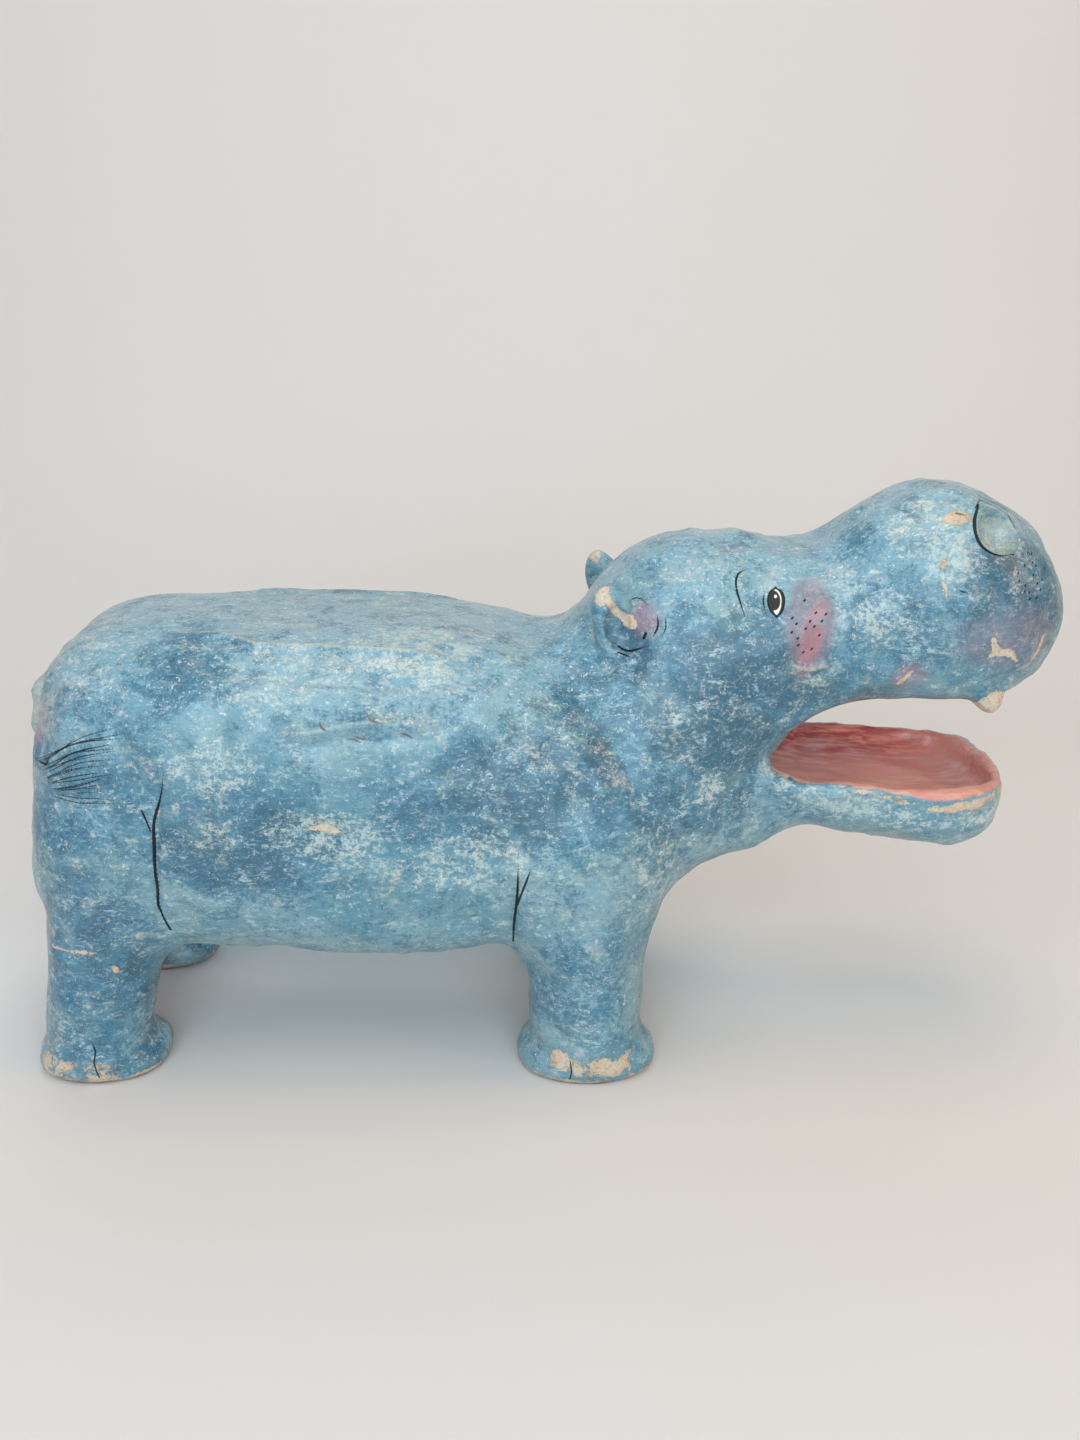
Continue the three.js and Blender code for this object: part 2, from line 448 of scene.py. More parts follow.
@dataclass(frozen=True)
class Scatter:
    """Pen dots scattered in an ellipse, such as whisker roots.

    Attributes:
        at: centre of the ellipse, as X and Z.
        half: half sizes of the ellipse.
        count: number of dots.
        size: width of a dot.
        side: the side they are on.
        apart: least distance between two dots.
    """

    at: Flat
    half: Flat
    count: int
    size: float
    side: Side
    apart: float = 2.6

    def dots(self, rng: np.random.Generator) -> list[Stroke]:
        """Sets the dots.

        Args:
            rng: source of the places.

        Returns:
            One short stroke a dot.
        """
        marks: list[Stroke] = []
        while len(marks) < self.count:
            u, v = rng.uniform(-1, 1, 2)
            if u * u + v * v > 1:
                continue
            x, z = self.at[0] + self.half[0] * u, self.at[1] + self.half[1] * v
            if any(math.dist((x, z), m.route[0]) < self.apart for m in marks):
                continue
            marks.append(Stroke(((x, z), (x + 0.5, z + 0.5)), self.size, side=self.side, taper=(1, 1)))
        return marks


@dataclass(frozen=True)
class Markings:
    """Every line that is drawn, chipped or cracked along a route on the animal.

    Attributes:
        seed: picks the small differences of the scattered marks.
        hairs: number of hairs in the tuft by the tail.
        curls_at: middle of the group of brown curls, as X and Z.
        curl_starts: first angle of each curl in degrees.
        curl_lifts: how far each curl stands above the middle of the group.
        whiskers: the dots of the near cheek and muzzle.
        far_whiskers: the dots of the far cheek and muzzle.
    """

    seed: int = 17
    hairs: int = 21
    curls_at: Flat = (-88.0, 211.0)
    curl_starts: tuple[float, ...] = (200.0, 20.0, 215.0, 190.0, 30.0)
    curl_lifts: tuple[float, ...] = (5.0, -7.0, 1.0, 9.0, -5.0)
    whiskers: tuple[Scatter, ...] = (
        Scatter((140, 257), (10, 17), 15, 1.05, Side.NEAR),
        Scatter((258, 281), (10, 12), 17, 1.0, Side.NEAR),
    )
    far_whiskers: tuple[Scatter, ...] = (
        Scatter((141, 257), (9, 17), 12, 1.05, Side.FAR),
        Scatter((258, 281), (10, 12), 14, 1.0, Side.FAR),
    )

    def tuft(self, rng: np.random.Generator) -> list[Stroke]:
        """The fan of fine hairs drawn beside the tail.

        Args:
            rng: source of the small differences between hairs.

        Returns:
            One stroke a hair.
        """
        hairs = []
        for i in range(self.hairs):
            t = i / (self.hairs - 1)
            start = (-263.0 + 14.0 * t + rng.uniform(-4, 4), 189.0 - 17.0 * t + rng.uniform(-1.5, 1.5))
            stop = (-214.0 - 8.0 * t + rng.uniform(-10, 4), 213.0 - 42.0 * t + rng.uniform(-2, 2))
            lift = 5.0 - 6.0 * t + rng.uniform(-1.5, 1.5)
            middle = ((start[0] + stop[0]) / 2, (start[1] + stop[1]) / 2 + lift)
            hairs.append(Stroke((start, middle, stop), rng.uniform(0.5, 0.85), taper=(0.8, 0.7)))
        return hairs

    def curls(self, rng: np.random.Generator) -> list[Stroke]:
        """A few short brown curls where the varnish has cracked and lifted.

        Args:
            rng: source of the small differences between curls.

        Returns:
            One stroke a curl.
        """
        marks = []
        for i, (first, lift) in enumerate(zip(self.curl_starts, self.curl_lifts)):
            across = self.curls_at[0] + 8.0 * (i - 2) + rng.uniform(-1, 1)
            start = first + rng.uniform(-20, 20)
            size = rng.uniform(6.0, 9.0)
            stop = start + rng.uniform(50, 70)
            arc = ring((across, self.curls_at[1] + lift), (size, size * 0.6), start, stop)
            marks.append(Stroke(arc, 1.3, Paint.RUST, Side.NEAR, (0.7, 0.4)))
        return marks

    def near_lines(self) -> list[Stroke]:
        """The lines, chips and cracks of the animal's right side, which the camera sees.

        Returns:
            The strokes.
        """
        chip = partial(Stroke, paint=Paint.BARE)
        wear_and_highlight = partial(Stroke, paint=Paint.CREAM, taper=(0.3, 0.3))
        return [
            # creases of the legs
            Stroke(
                ((-191, 191), (-195, 176), (-200, 161), (-201, 144), (-202, 125), (-203, 110), (-200, 94)),
                1.5,
                taper=(0.3, 0.9),
            ),
            Stroke(((-206, 171), (-202, 157)), 1.2, taper=(0.3, 0.8)),
            Stroke(((-11, 138), (-12, 118), (-14, 98), (-15, 82)), 1.5, taper=(0.3, 0.7)),
            Stroke(((-4, 137), (-9, 122), (-12, 112)), 1.2, taper=(0.3, 0.9)),
            # brow
            Stroke(((110, 284), (104, 281), (103, 275), (107, 263)), 1.3, taper=(0.3, 0.5)),
            Stroke(((118, 275), (117, 270), (118, 264)), 0.9),
            # nostril
            Stroke(((230, 315), (225, 307), (228, 299), (237, 294), (247, 293)), 2.0, taper=(0.8, 0.5)),
            Stroke(((228, 314), (234, 317), (243, 314), (250, 307), (252, 300)), 1.3, taper=(0.6, 0.4)),
            # arcs and flecks about the ear
            Stroke(((39, 246), (46, 243), (56, 246)), 1.4),
            Stroke(((40, 242), (49, 240)), 1.0),
            Stroke(((62, 262), (62, 256), (59, 250)), 1.1),
            Stroke(((66, 262), (66, 256), (64, 252)), 0.8),
            Stroke(((46, 265), (53, 268), (60, 264)), 0.8),
            Stroke(((55, 250), (56, 252)), 1.8, taper=(1, 1)),
            # chips of the muzzle, leg and snout
            chip(((237, 250), (240, 243), (247, 242), (252, 237)), 5.6, taper=(0.6, 0.6)),
            chip(((240, 243), (236, 239)), 4.4, taper=(0.8, 0.3)),
            chip(((269, 249), (266, 242), (262, 236)), 4.6, taper=(0.5, 0.4)),
            chip(((208, 291), (207, 287)), 3.2, taper=(0.8, 0.5)),
            chip(((207, 281), (209, 277), (209, 273)), 3.0, taper=(0.5, 0.5)),
            chip(((-266, 83.5), (-252, 82.5), (-240, 83)), 3.2, taper=(0.4, 0.3)),
            chip(((-232, 73), (-231, 70)), 3.0, taper=(0.8, 0.5)),
            chip(((196, 233), (188, 224)), 3.0, taper=(0.3, 0.3)),
            Stroke(((217, 312), (221, 311)), 1.6, Paint.RUST, taper=(0.8, 0.6)),
            # cracks of the feet
            Stroke(((-249, 30), (-247, 22), (-248, 15), (-246, 6)), 1.0, taper=(0.3, 0.9)),
            Stroke(((17, 19), (18, 11), (17, 4)), 0.9, taper=(0.3, 0.9)),
            # worn strip of the flank
            chip(((-118, 160), (-110, 160), (-100, 157)), 4.4, taper=(0.5, 0.4)),
            # pale cream along the ridges of the flank, partly worn paint and partly painted highlight;
            # painted highlight on the ridge under the cheek; worn pale paint in the nostril
            wear_and_highlight(RIDGE, 1.8, taper=(0.4, 0.3)),
            wear_and_highlight(((-132, 211), (-114, 212), (-89, 216), (-51, 216)), 0.9),
            # painted highlight along the ridge under the cheek
            wear_and_highlight(((132, 237), (143, 234), (154, 237)), 2.4),
            wear_and_highlight(((235, 309), (240, 303), (242, 297)), 1.2),
            wear_and_highlight(((240, 309), (246, 302)), 1.0),
            chip(((33, 274), (38, 266), (44, 260), (50, 255)), 5.5, taper=(0.9, 0.7)),
            # end of the tail and a short mark by its root
            Stroke(((-264, 189), (-257, 189), (-255, 194)), 1.1),
            Stroke(((-237, 254), (-233, 257)), 0.8),
            # small dark marks on the snout
            Stroke(((215, 277), (221, 275)), 0.9),
        ]

    def far_lines(self) -> list[Stroke]:
        """The plainer lines of the other side."""
        far = Side.FAR
        return [
            Stroke(((-193, 190), (-198, 150), (-203, 100)), 1.5, side=far, taper=(0.3, 0.6)),
            Stroke(((-11, 138), (-12, 112), (-15, 84)), 1.5, side=far, taper=(0.3, 0.7)),
            Stroke(((110, 284), (104, 281), (103, 275), (107, 263)), 1.3, side=far),
            Stroke(((39, 246), (46, 243), (56, 246)), 1.4, side=far),
        ]

    def strokes(self) -> list[Stroke]:
        """Every line of the animal, with the scattered ones drawn from one seed.

        Returns:
            The strokes of both sides.
        """
        rng = np.random.default_rng(self.seed)
        marks = self.near_lines() + self.tuft(rng)
        for whiskers in self.whiskers:
            marks += whiskers.dots(rng)
        marks += self.curls(rng) + self.far_lines()
        for whiskers in self.far_whiskers:
            marks += whiskers.dots(rng)
        return marks


@dataclass(frozen=True)
class Fold:
    """A soft ridge or furrow in the paper, along a route on one side.

    Attributes:
        route: set points, as X and Z.
        height: how far it stands out, negative for a furrow.
        width: how wide it is.
        sides: the sides that have it.
    """

    route: Route
    height: float
    width: float
    sides: tuple[Side, ...] = (Side.NEAR, Side.FAR)


FOLDS = (
    Fold(RIDGE, 3.2, 7.0),
    Fold(((-195, 243), (-114, 235), (-37, 230)), -2.4, 11.0),
    Fold(((-132, 210), (-114, 211), (-89, 215), (-51, 215)), 2.8, 7.0),
    Fold(((-140, 205), (-89, 208), (-45, 208)), -1.8, 9.0),
    Fold(((12, 230), (20, 221), (32, 210), (37, 202), (51, 175), (61, 159)), -2.4, 13.0),
    Fold(((2, 218), (12, 204), (26, 186), (38, 164)), 2.0, 12.0),
    Fold(((-192, 191), (-199, 152), (-204, 95)), -2.2, 4.0),
    Fold(((-11, 138), (-14, 98), (-15, 80)), -2.0, 3.6),
    Fold(((134, 238), (143, 235), (153, 237)), 1.6, 5.0),
    Fold(((-252, 225), (-240, 190), (-236, 150)), 1.6, 12.0),
    Fold(((-225, 235), (-214, 205), (-212, 170)), -1.6, 12.0),
    Fold(((70, 152), (100, 130), (130, 120)), 1.4, 6.0),
    Fold(((150, 262), (165, 272), (185, 276)), -1.4, 12.0),
)


def patches(
    paint: Paint, *spots: tuple[Point, Point, float], soft: float = 0.8, turn: float = 0.0
) -> list[Patch]:
    """Patches of one paint, each from its centre, half sizes and strength."""
    return [Patch(at, half, paint, amount, soft, turn) for at, half, amount in spots]


# where each paint lies in soft patches
PATCHES = (
    # sponged dark blue
    *patches(
        Paint.DEEP,
        ((65, -65, 231), (34, 30, 30), 0.8), ((103, -66, 204), (30, 30, 34), 1.0),
        ((-14, -92, 180), (38, 40, 30), 1.0), ((52, -80, 175), (34, 40, 30), 0.7),
        ((26, -71, 213), (26, 30, 24), 0.6), ((-183, -68, 240), (26, 30, 20), 0.6),
        ((-150, -95, 150), (52, 40, 30), 0.9), ((-60, -95, 170), (34, 40, 18), 0.6),
        ((-232, -87, 66), (22, 40, 30), 0.8), ((-251, -90, 145), (20, 40, 22), 0.7),
        ((20, -80, 60), (24, 40, 30), 0.5), ((233, -58, 272), (26, 30, 20), 0.5),
        ((-240, -80, 60), (46, 50, 60), 0.5), ((-240, -80, 180), (50, 50, 50), 0.35),
        ((60, -70, 190), (70, 60, 60), 0.65), ((140, -60, 220), (50, 50, 40), 0.35),
        ((110, -60, 232), (46, 50, 30), 1.25), ((248, -50, 270), (34, 50, 40), 0.85),
        ((190, -60, 258), (40, 24, 26), 0.5), ((-245, -85, 90), (34, 30, 60), 0.6),
        ((95, -66, 215), (42, 30, 42), 1.2), ((-150, 90, 170), (60, 40, 40), 0.6),
        ((40, 70, 200), (50, 40, 40), 0.7), ((200, 50, 270), (40, 30, 30), 0.5),
        ((-240, 80, 90), (34, 30, 60), 0.5),
    ),
    # pale dry brushing
    *patches(
        Paint.PALE,
        ((-65, -55, 246), (36, 30, 24), 1.0), ((-133, -73, 236), (30, 30, 20), 0.7),
        ((-229, -50, 240), (26, 40, 26), 0.6), ((-165, -96, 193), (26, 40, 14), 0.7),
        ((-40, -97, 140), (34, 40, 18), 0.7), ((-108, -98, 155), (30, 40, 14), 0.9),
        ((59, -84, 125), (16, 40, 30), 0.6), ((207, -39, 305), (30, 26, 24), 0.7),
        ((170, -57, 266), (26, 26, 22), 0.5), ((-262, -60, 228), (20, 34, 28), 0.6),
        ((176, -58, 262), (14, 20, 9), 1.1), ((-60, 90, 150), (40, 40, 24), 0.8),
        ((213, -50, 292), (16, 20, 14), 1.1), ((90, -66, 170), (9, 20, 10), 1.2),
    ),
    # outer blush
    *patches(
        Paint.MAUVE,
        ((141, -55, 258), (13, 24, 25), 1.1), ((141, 55, 258), (13, 24, 25), 1.1),
        soft=0.45,
    ),
    # inner blush
    *patches(
        Paint.ROSE,
        ((142, -57, 251), (6, 24, 20), 0.85), ((142, 57, 251), (6, 24, 20), 0.85),
        soft=0.9, turn=-12,
    ),
    *patches(
        Paint.MAUVE,
        ((248, -54, 250), (34, 24, 16), 0.8), ((248, 54, 250), (34, 24, 16), 0.6),
    ),
    *patches(
        Paint.ROSE,
        ((195, -56, 228), (9, 20, 9), 0.6), ((56, -50, 259), (9, 12, 8), 0.65),
        ((56, 50, 259), (9, 12, 8), 0.5), ((-262, -70, 210), (8, 16, 12), 0.5),
        soft=0.9,
    ),
    # cream rump behind the tail
    *patches(
        Paint.CREAM,
        ((-283, -22, 205), (10, 26, 34), 0.9),
        soft=0.9,
    ),
    # chips of bare paper on the feet, the nose and the ears
    *patches(
        Paint.BARE,
        ((34, -88, 12), (24, 18, 10), 0.62), ((12, -90, 16), (8, 12, 8), 0.62),
        ((-270, -80, 10), (16, 24, 10), 0.62), ((-246, -92, 8), (10, 12, 10), 0.5),
        ((217, -40, 310), (9, 9, 5), 0.86), ((33, -46, 272), (4, 8, 9), 0.9), ((33, 46, 272), (4, 8, 9), 0.7),
        ((20, 84, 12), (26, 16, 8), 0.5), ((-262, 80, 12), (20, 20, 8), 0.5),
        soft=1.0,
    ),
)


# ---------------- skin


def mesh_object(name: str, points: list[Point], faces: list[tuple[int, ...]]) -> bpy.types.Object:
    """Makes a smooth-shaded mesh and puts it in the scene.

    Args:
        name: its name.
        points: vertices in metres.
        faces: vertex numbers of each face.

    Returns:
        The object.
    """
    mesh = bpy.data.meshes.new(name)
    mesh.from_pydata(points, [], faces)
    mesh.polygons.foreach_set("use_smooth", np.ones(len(mesh.polygons), bool))
    made = bpy.data.objects.new(name, mesh)
    bpy.context.collection.objects.link(made)
    return made


@dataclass
class Net:
    """A triangle net.

    Attributes:
        points: vertices, one a row.
        faces: triangles, as rows of three vertex numbers.
    """

    points: Array
    faces: Array

    @classmethod
    def over(cls, form: Hippopotamus, step: float) -> "Net":
        """Lays a net over a form, with one vertex in each cell that the surface crosses.

        Args:
            form: the form.
            step: size of a cell.

        Returns:
            The net.
        """
        axes = [np.arange(a, b + step, step) for a, b in zip(form.low, form.high)]
        shape = tuple(len(a) for a in axes)
        f = np.empty(shape)
        for i, x in enumerate(axes[0]):
            y, z = np.meshgrid(axes[1], axes[2], indexing="ij")
            f[i] = form.distance(np.stack([np.full(y.size, x), y.ravel(), z.ravel()])).reshape(y.shape)
        inside = f < 0
        total = np.zeros(tuple(n - 1 for n in shape) + (3,))
        count = np.zeros(tuple(n - 1 for n in shape))
        crossings = []
        for axis in range(3):
            a = [slice(None)] * 3
            b = [slice(None)] * 3
            a[axis], b[axis] = slice(0, -1), slice(1, None)
            fa, fb = f[tuple(a)], f[tuple(b)]
            crossed = inside[tuple(a)] != inside[tuple(b)]
            t = np.where(crossed, fa / np.where(crossed, fa - fb, 1.0), 0.0)
            others = [k for k in range(3) if k != axis]
            for du in (0, 1):
                for dv in (0, 1):
                    pick = [slice(None)] * 3
                    pick[others[0]] = slice(du, shape[others[0]] - 1 + du)
                    pick[others[1]] = slice(dv, shape[others[1]] - 1 + dv)
                    c = crossed[tuple(pick)]
                    count += c
                    total[..., axis] += t[tuple(pick)]
                    total[..., others[0]] += du * c
                    total[..., others[1]] += dv * c
            crossings.append((axis, others, crossed, inside[tuple(a)]))
        used = count > 0
        number = np.full(used.shape, -1)
        number[used] = np.arange(used.sum())
        cell = np.argwhere(used)
        points = (cell + total[used] / count[used][:, None]) * step + np.array([a[0] for a in axes])
        faces = []
        for axis, others, crossed, outward in crossings:
            at = np.argwhere(crossed)
            at = at[(at[:, others[0]] > 0) & (at[:, others[1]] > 0)]
            corner = []
            for du, dv in ((1, 1), (0, 1), (0, 0), (1, 0)):
                c = at.copy()
                c[:, others[0]] -= du
                c[:, others[1]] -= dv
                corner.append(number[c[:, 0], c[:, 1], c[:, 2]])
            quad = np.stack(corner, 1)
            flip = outward[tuple(at.T)] == (axis == 1)
            quad[flip] = quad[flip][:, ::-1]
            faces += [quad[:, [0, 1, 2]], quad[:, [0, 2, 3]]]
        return cls(points, np.vstack(faces))

    def refined(self, wanted: Callable[[Array], Array]) -> "Net":
        """Halves each edge that is longer than is wanted where it lies.

        Args:
            wanted: gives the longest edge allowed at points.

        Returns:
            The finer net.
        """
        sides = np.sort(self.faces[:, [[0, 1], [1, 2], [2, 0]]].reshape(-1, 2), axis=1)
        edges, back = np.unique(sides, axis=0, return_inverse=True)
        a, b = self.points[edges[:, 0]], self.points[edges[:, 1]]
        middle = (a + b) / 2
        halved = np.linalg.norm(a - b, axis=1) > wanted(middle)
        new = np.full(len(edges), -1)
        new[halved] = len(self.points) + np.arange(halved.sum())
        points = np.vstack([self.points, middle[halved]])
        m = new[back.reshape(-1)].reshape(-1, 3)
        split = (m >= 0).sum(1)
        faces = [self.faces[split == 0]]
        for turn in range(3):
            f, e = np.roll(self.faces, -turn, 1), np.roll(m, -turn, 1)
            one = (split == 1) & (e[:, 0] >= 0)
            v, k = f[one], e[one]
            faces += [np.stack([v[:, 0], k[:, 0], v[:, 2]], 1), np.stack([k[:, 0], v[:, 1], v[:, 2]], 1)]
            two = (split == 2) & (e[:, 2] < 0)
            v, k = f[two], e[two]
            faces.append(np.stack([k[:, 0], v[:, 1], k[:, 1]], 1))
            near = np.linalg.norm(points[v[:, 0]] - points[k[:, 1]], axis=1)
            far = np.linalg.norm(points[k[:, 0]] - points[v[:, 2]], axis=1)
            s = near <= far
            faces += [np.stack([v[s, 0], k[s, 0], k[s, 1]], 1), np.stack([v[s, 0], k[s, 1], v[s, 2]], 1)]
            s = ~s
            faces += [np.stack([v[s, 0], k[s, 0], v[s, 2]], 1), np.stack([k[s, 0], k[s, 1], v[s, 2]], 1)]
        v, k = self.faces[split == 3], m[split == 3]
        for corner in ((v[:, 0], k[:, 0], k[:, 2]), (v[:, 1], k[:, 1], k[:, 0]), (v[:, 2], k[:, 2], k[:, 1])):
            faces.append(np.stack(corner, 1))
        faces.append(k)
        return Net(points, np.vstack(faces))


class Line:
    """A route laid on the form, which tells how far points are from it."""

    def __init__(self, points: Array, margin: float) -> None:
        """Keeps the route.

        Args:
            points: points along the route, one a row.
            margin: distance beyond which points are left out.
        """
        self.points = points
        self.low = points.min(0) - margin
        self.high = points.max(0) + margin

    def near(self, p: Array) -> tuple[Array, Array, Array]:
        """Finds the points close to the route.

        Args:
            p: points, one a row.

        Returns:
            Their numbers, their distances, and how far along the route they lie (0 to 1).
        """
        pick = np.nonzero(((p > self.low) & (p < self.high)).all(1))[0]
        if not len(pick):
            return pick, np.zeros(0), np.zeros(0)
        d = np.linalg.norm(p[pick][:, None, :] - self.points[None], axis=2)
        k = d.argmin(1)
        return pick, d[np.arange(len(pick)), k], k / max(1, len(self.points) - 1)


@dataclass(frozen=True)
class Eye:
    """The painted eye, on both sides.

    Attributes:
        at: its centre, as X and Z.
        half: half sizes of its white.
        pupil_at: centre of the pupil.
        pupil_half: half sizes of the pupil.
        glint_at: centre of the spot of light in the pupil.
        glint: radius of that spot.
        line: half width of its ink outline.
    """

    at: Flat = (123.5, 269.0)
    half: Flat = (4.4, 6.3)
    pupil_at: Flat = (122.6, 270.0)
    pupil_half: Flat = (3.0, 4.5)
    glint_at: Flat = (123.3, 272.0)
    glint: float = 0.8
    line: float = 0.9

    def apart(self, x: Array, z: Array) -> Array:
        """How far points at X and Z are from the eye, in half sizes: 1 on the edge of its white."""
        return np.hypot((x - self.at[0]) / self.half[0], (z - self.at[1]) / self.half[1])

    def paint(self, held: dict[Paint, Array], p: Array) -> None:
        """Paints the eye's white and ink.

        Args:
            held: the amounts at the points, which are changed.
            p: points as rows of X, Y and Z.
        """
        x, y, z = p
        dx, dz = x - self.at[0], z - self.at[1]
        high = self.half[1]
        span = self.half[0] * np.sqrt(np.clip(1 - (dz / high) ** 2, 0, 1)) * (0.82 + 0.18 * dz / high)
        rim = span - np.abs(dx)
        rim = np.where(np.abs(dz) < high, rim, -np.hypot(dx, np.abs(dz) - high))
        close = (np.abs(y) > 30) & (np.hypot(dx, dz) < 14)
        outline = np.clip(0.5 + (self.line - np.abs(rim)) / 1.1, 0, 1)
        across, upright = self.pupil_half
        pupil = np.hypot((x - self.pupil_at[0]) / across, (z - self.pupil_at[1]) / upright)
        glint = np.hypot(x - self.glint_at[0], z - self.glint_at[1])
        dark = np.maximum(outline, np.clip(0.5 + (1 - pupil) * 2.6, 0, 1))
        dark = dark * np.clip(0.5 + (glint - self.glint) / 0.8, 0, 1)
        held[Paint.INK] = np.where(close, np.maximum(held[Paint.INK], dark), held[Paint.INK])
        held[Paint.WHITE] = np.where(close, np.clip(0.5 + rim / 1.0, 0, 1), 0.0)


@dataclass(frozen=True)
class Mouth:
    """The painted mouth: flesh colour in the jaw's dish and under the roof, painted shade at its back, and a
    worn lip.

    Attributes:
        past: how far the flesh colour runs past the edge of the dish.
        overrun: how much further it runs on the near side, at the front.
        overrun_from: X from which it does so, and over how much X it grows.
        roof_from: least X and Z of the roof.
        roof_half: half width of the roof.
        jaw: least and greatest Z of the painted jaw.
        pale_from: least Z of the pale strip outside the lip.
        brick_at: X of the middle of the change to the painted shade at the back of the mouth.
        worn: how far the paint is off the lip.
        teeth: how far it is off the teeth.
    """

    past: float = 4.6
    overrun: float = 4.4
    overrun_from: Flat = (135.0, 80.0)
    roof_from: Flat = (128.0, 185.0)
    roof_half: float = 44.0
    jaw: Flat = (132.0, 182.0)
    pale_from: float = 140.0
    brick_at: float = 165.0
    worn: float = 0.72
    teeth: float = 0.9

    def paint(self, held: dict[Paint, Array], p: Array, form: Hippopotamus) -> None:
        """Paints the mouth, its worn lip and the teeth.

        Args:
            held: the amounts at the points, which are changed.
            p: points as rows of X, Y and Z.
            form: the form that they are on.
        """
        x, y, z = p
        start, length = self.overrun_from
        further = self.overrun * np.clip((x - start) / length, 0, 1) * ease((22 - y) / 40)
        lip = form.dish.distance(p) - self.past - further
        roof = ease((1.5 - form.gape.distance(p)) / 1.5) * (np.abs(y) < self.roof_half)
        roof = roof * (x > self.roof_from[0]) * (z > self.roof_from[1])
        jaw = (z > self.jaw[0]) * (z < self.jaw[1])
        held[Paint.FLESH] = np.maximum(ease(-lip / 2.0) * jaw, roof)
        # painted shade: darker red towards the back of the mouth and towards its far side
        held[Paint.BRICK] = np.clip(0.34 + (self.brick_at - x) / 105 + y / 42, 0, 1)
        worn = self.worn * ease(1 - np.abs(lip - 0.2) / 1.6) * jaw * (0.76 + 0.24 * ease((10 - y) / 20))
        tooth = self.teeth * ease((1.5 - form.tooth.distance(p)) / 2.0)
        held[Paint.BARE] = np.max([held[Paint.BARE], worn, tooth], axis=0)
        pale = 1.1 * ease(1 - np.abs(lip - 4.0) / 5.0) * (z < self.jaw[1]) * (z > self.pale_from)
        held[Paint.PALE] = np.maximum(held[Paint.PALE], pale)


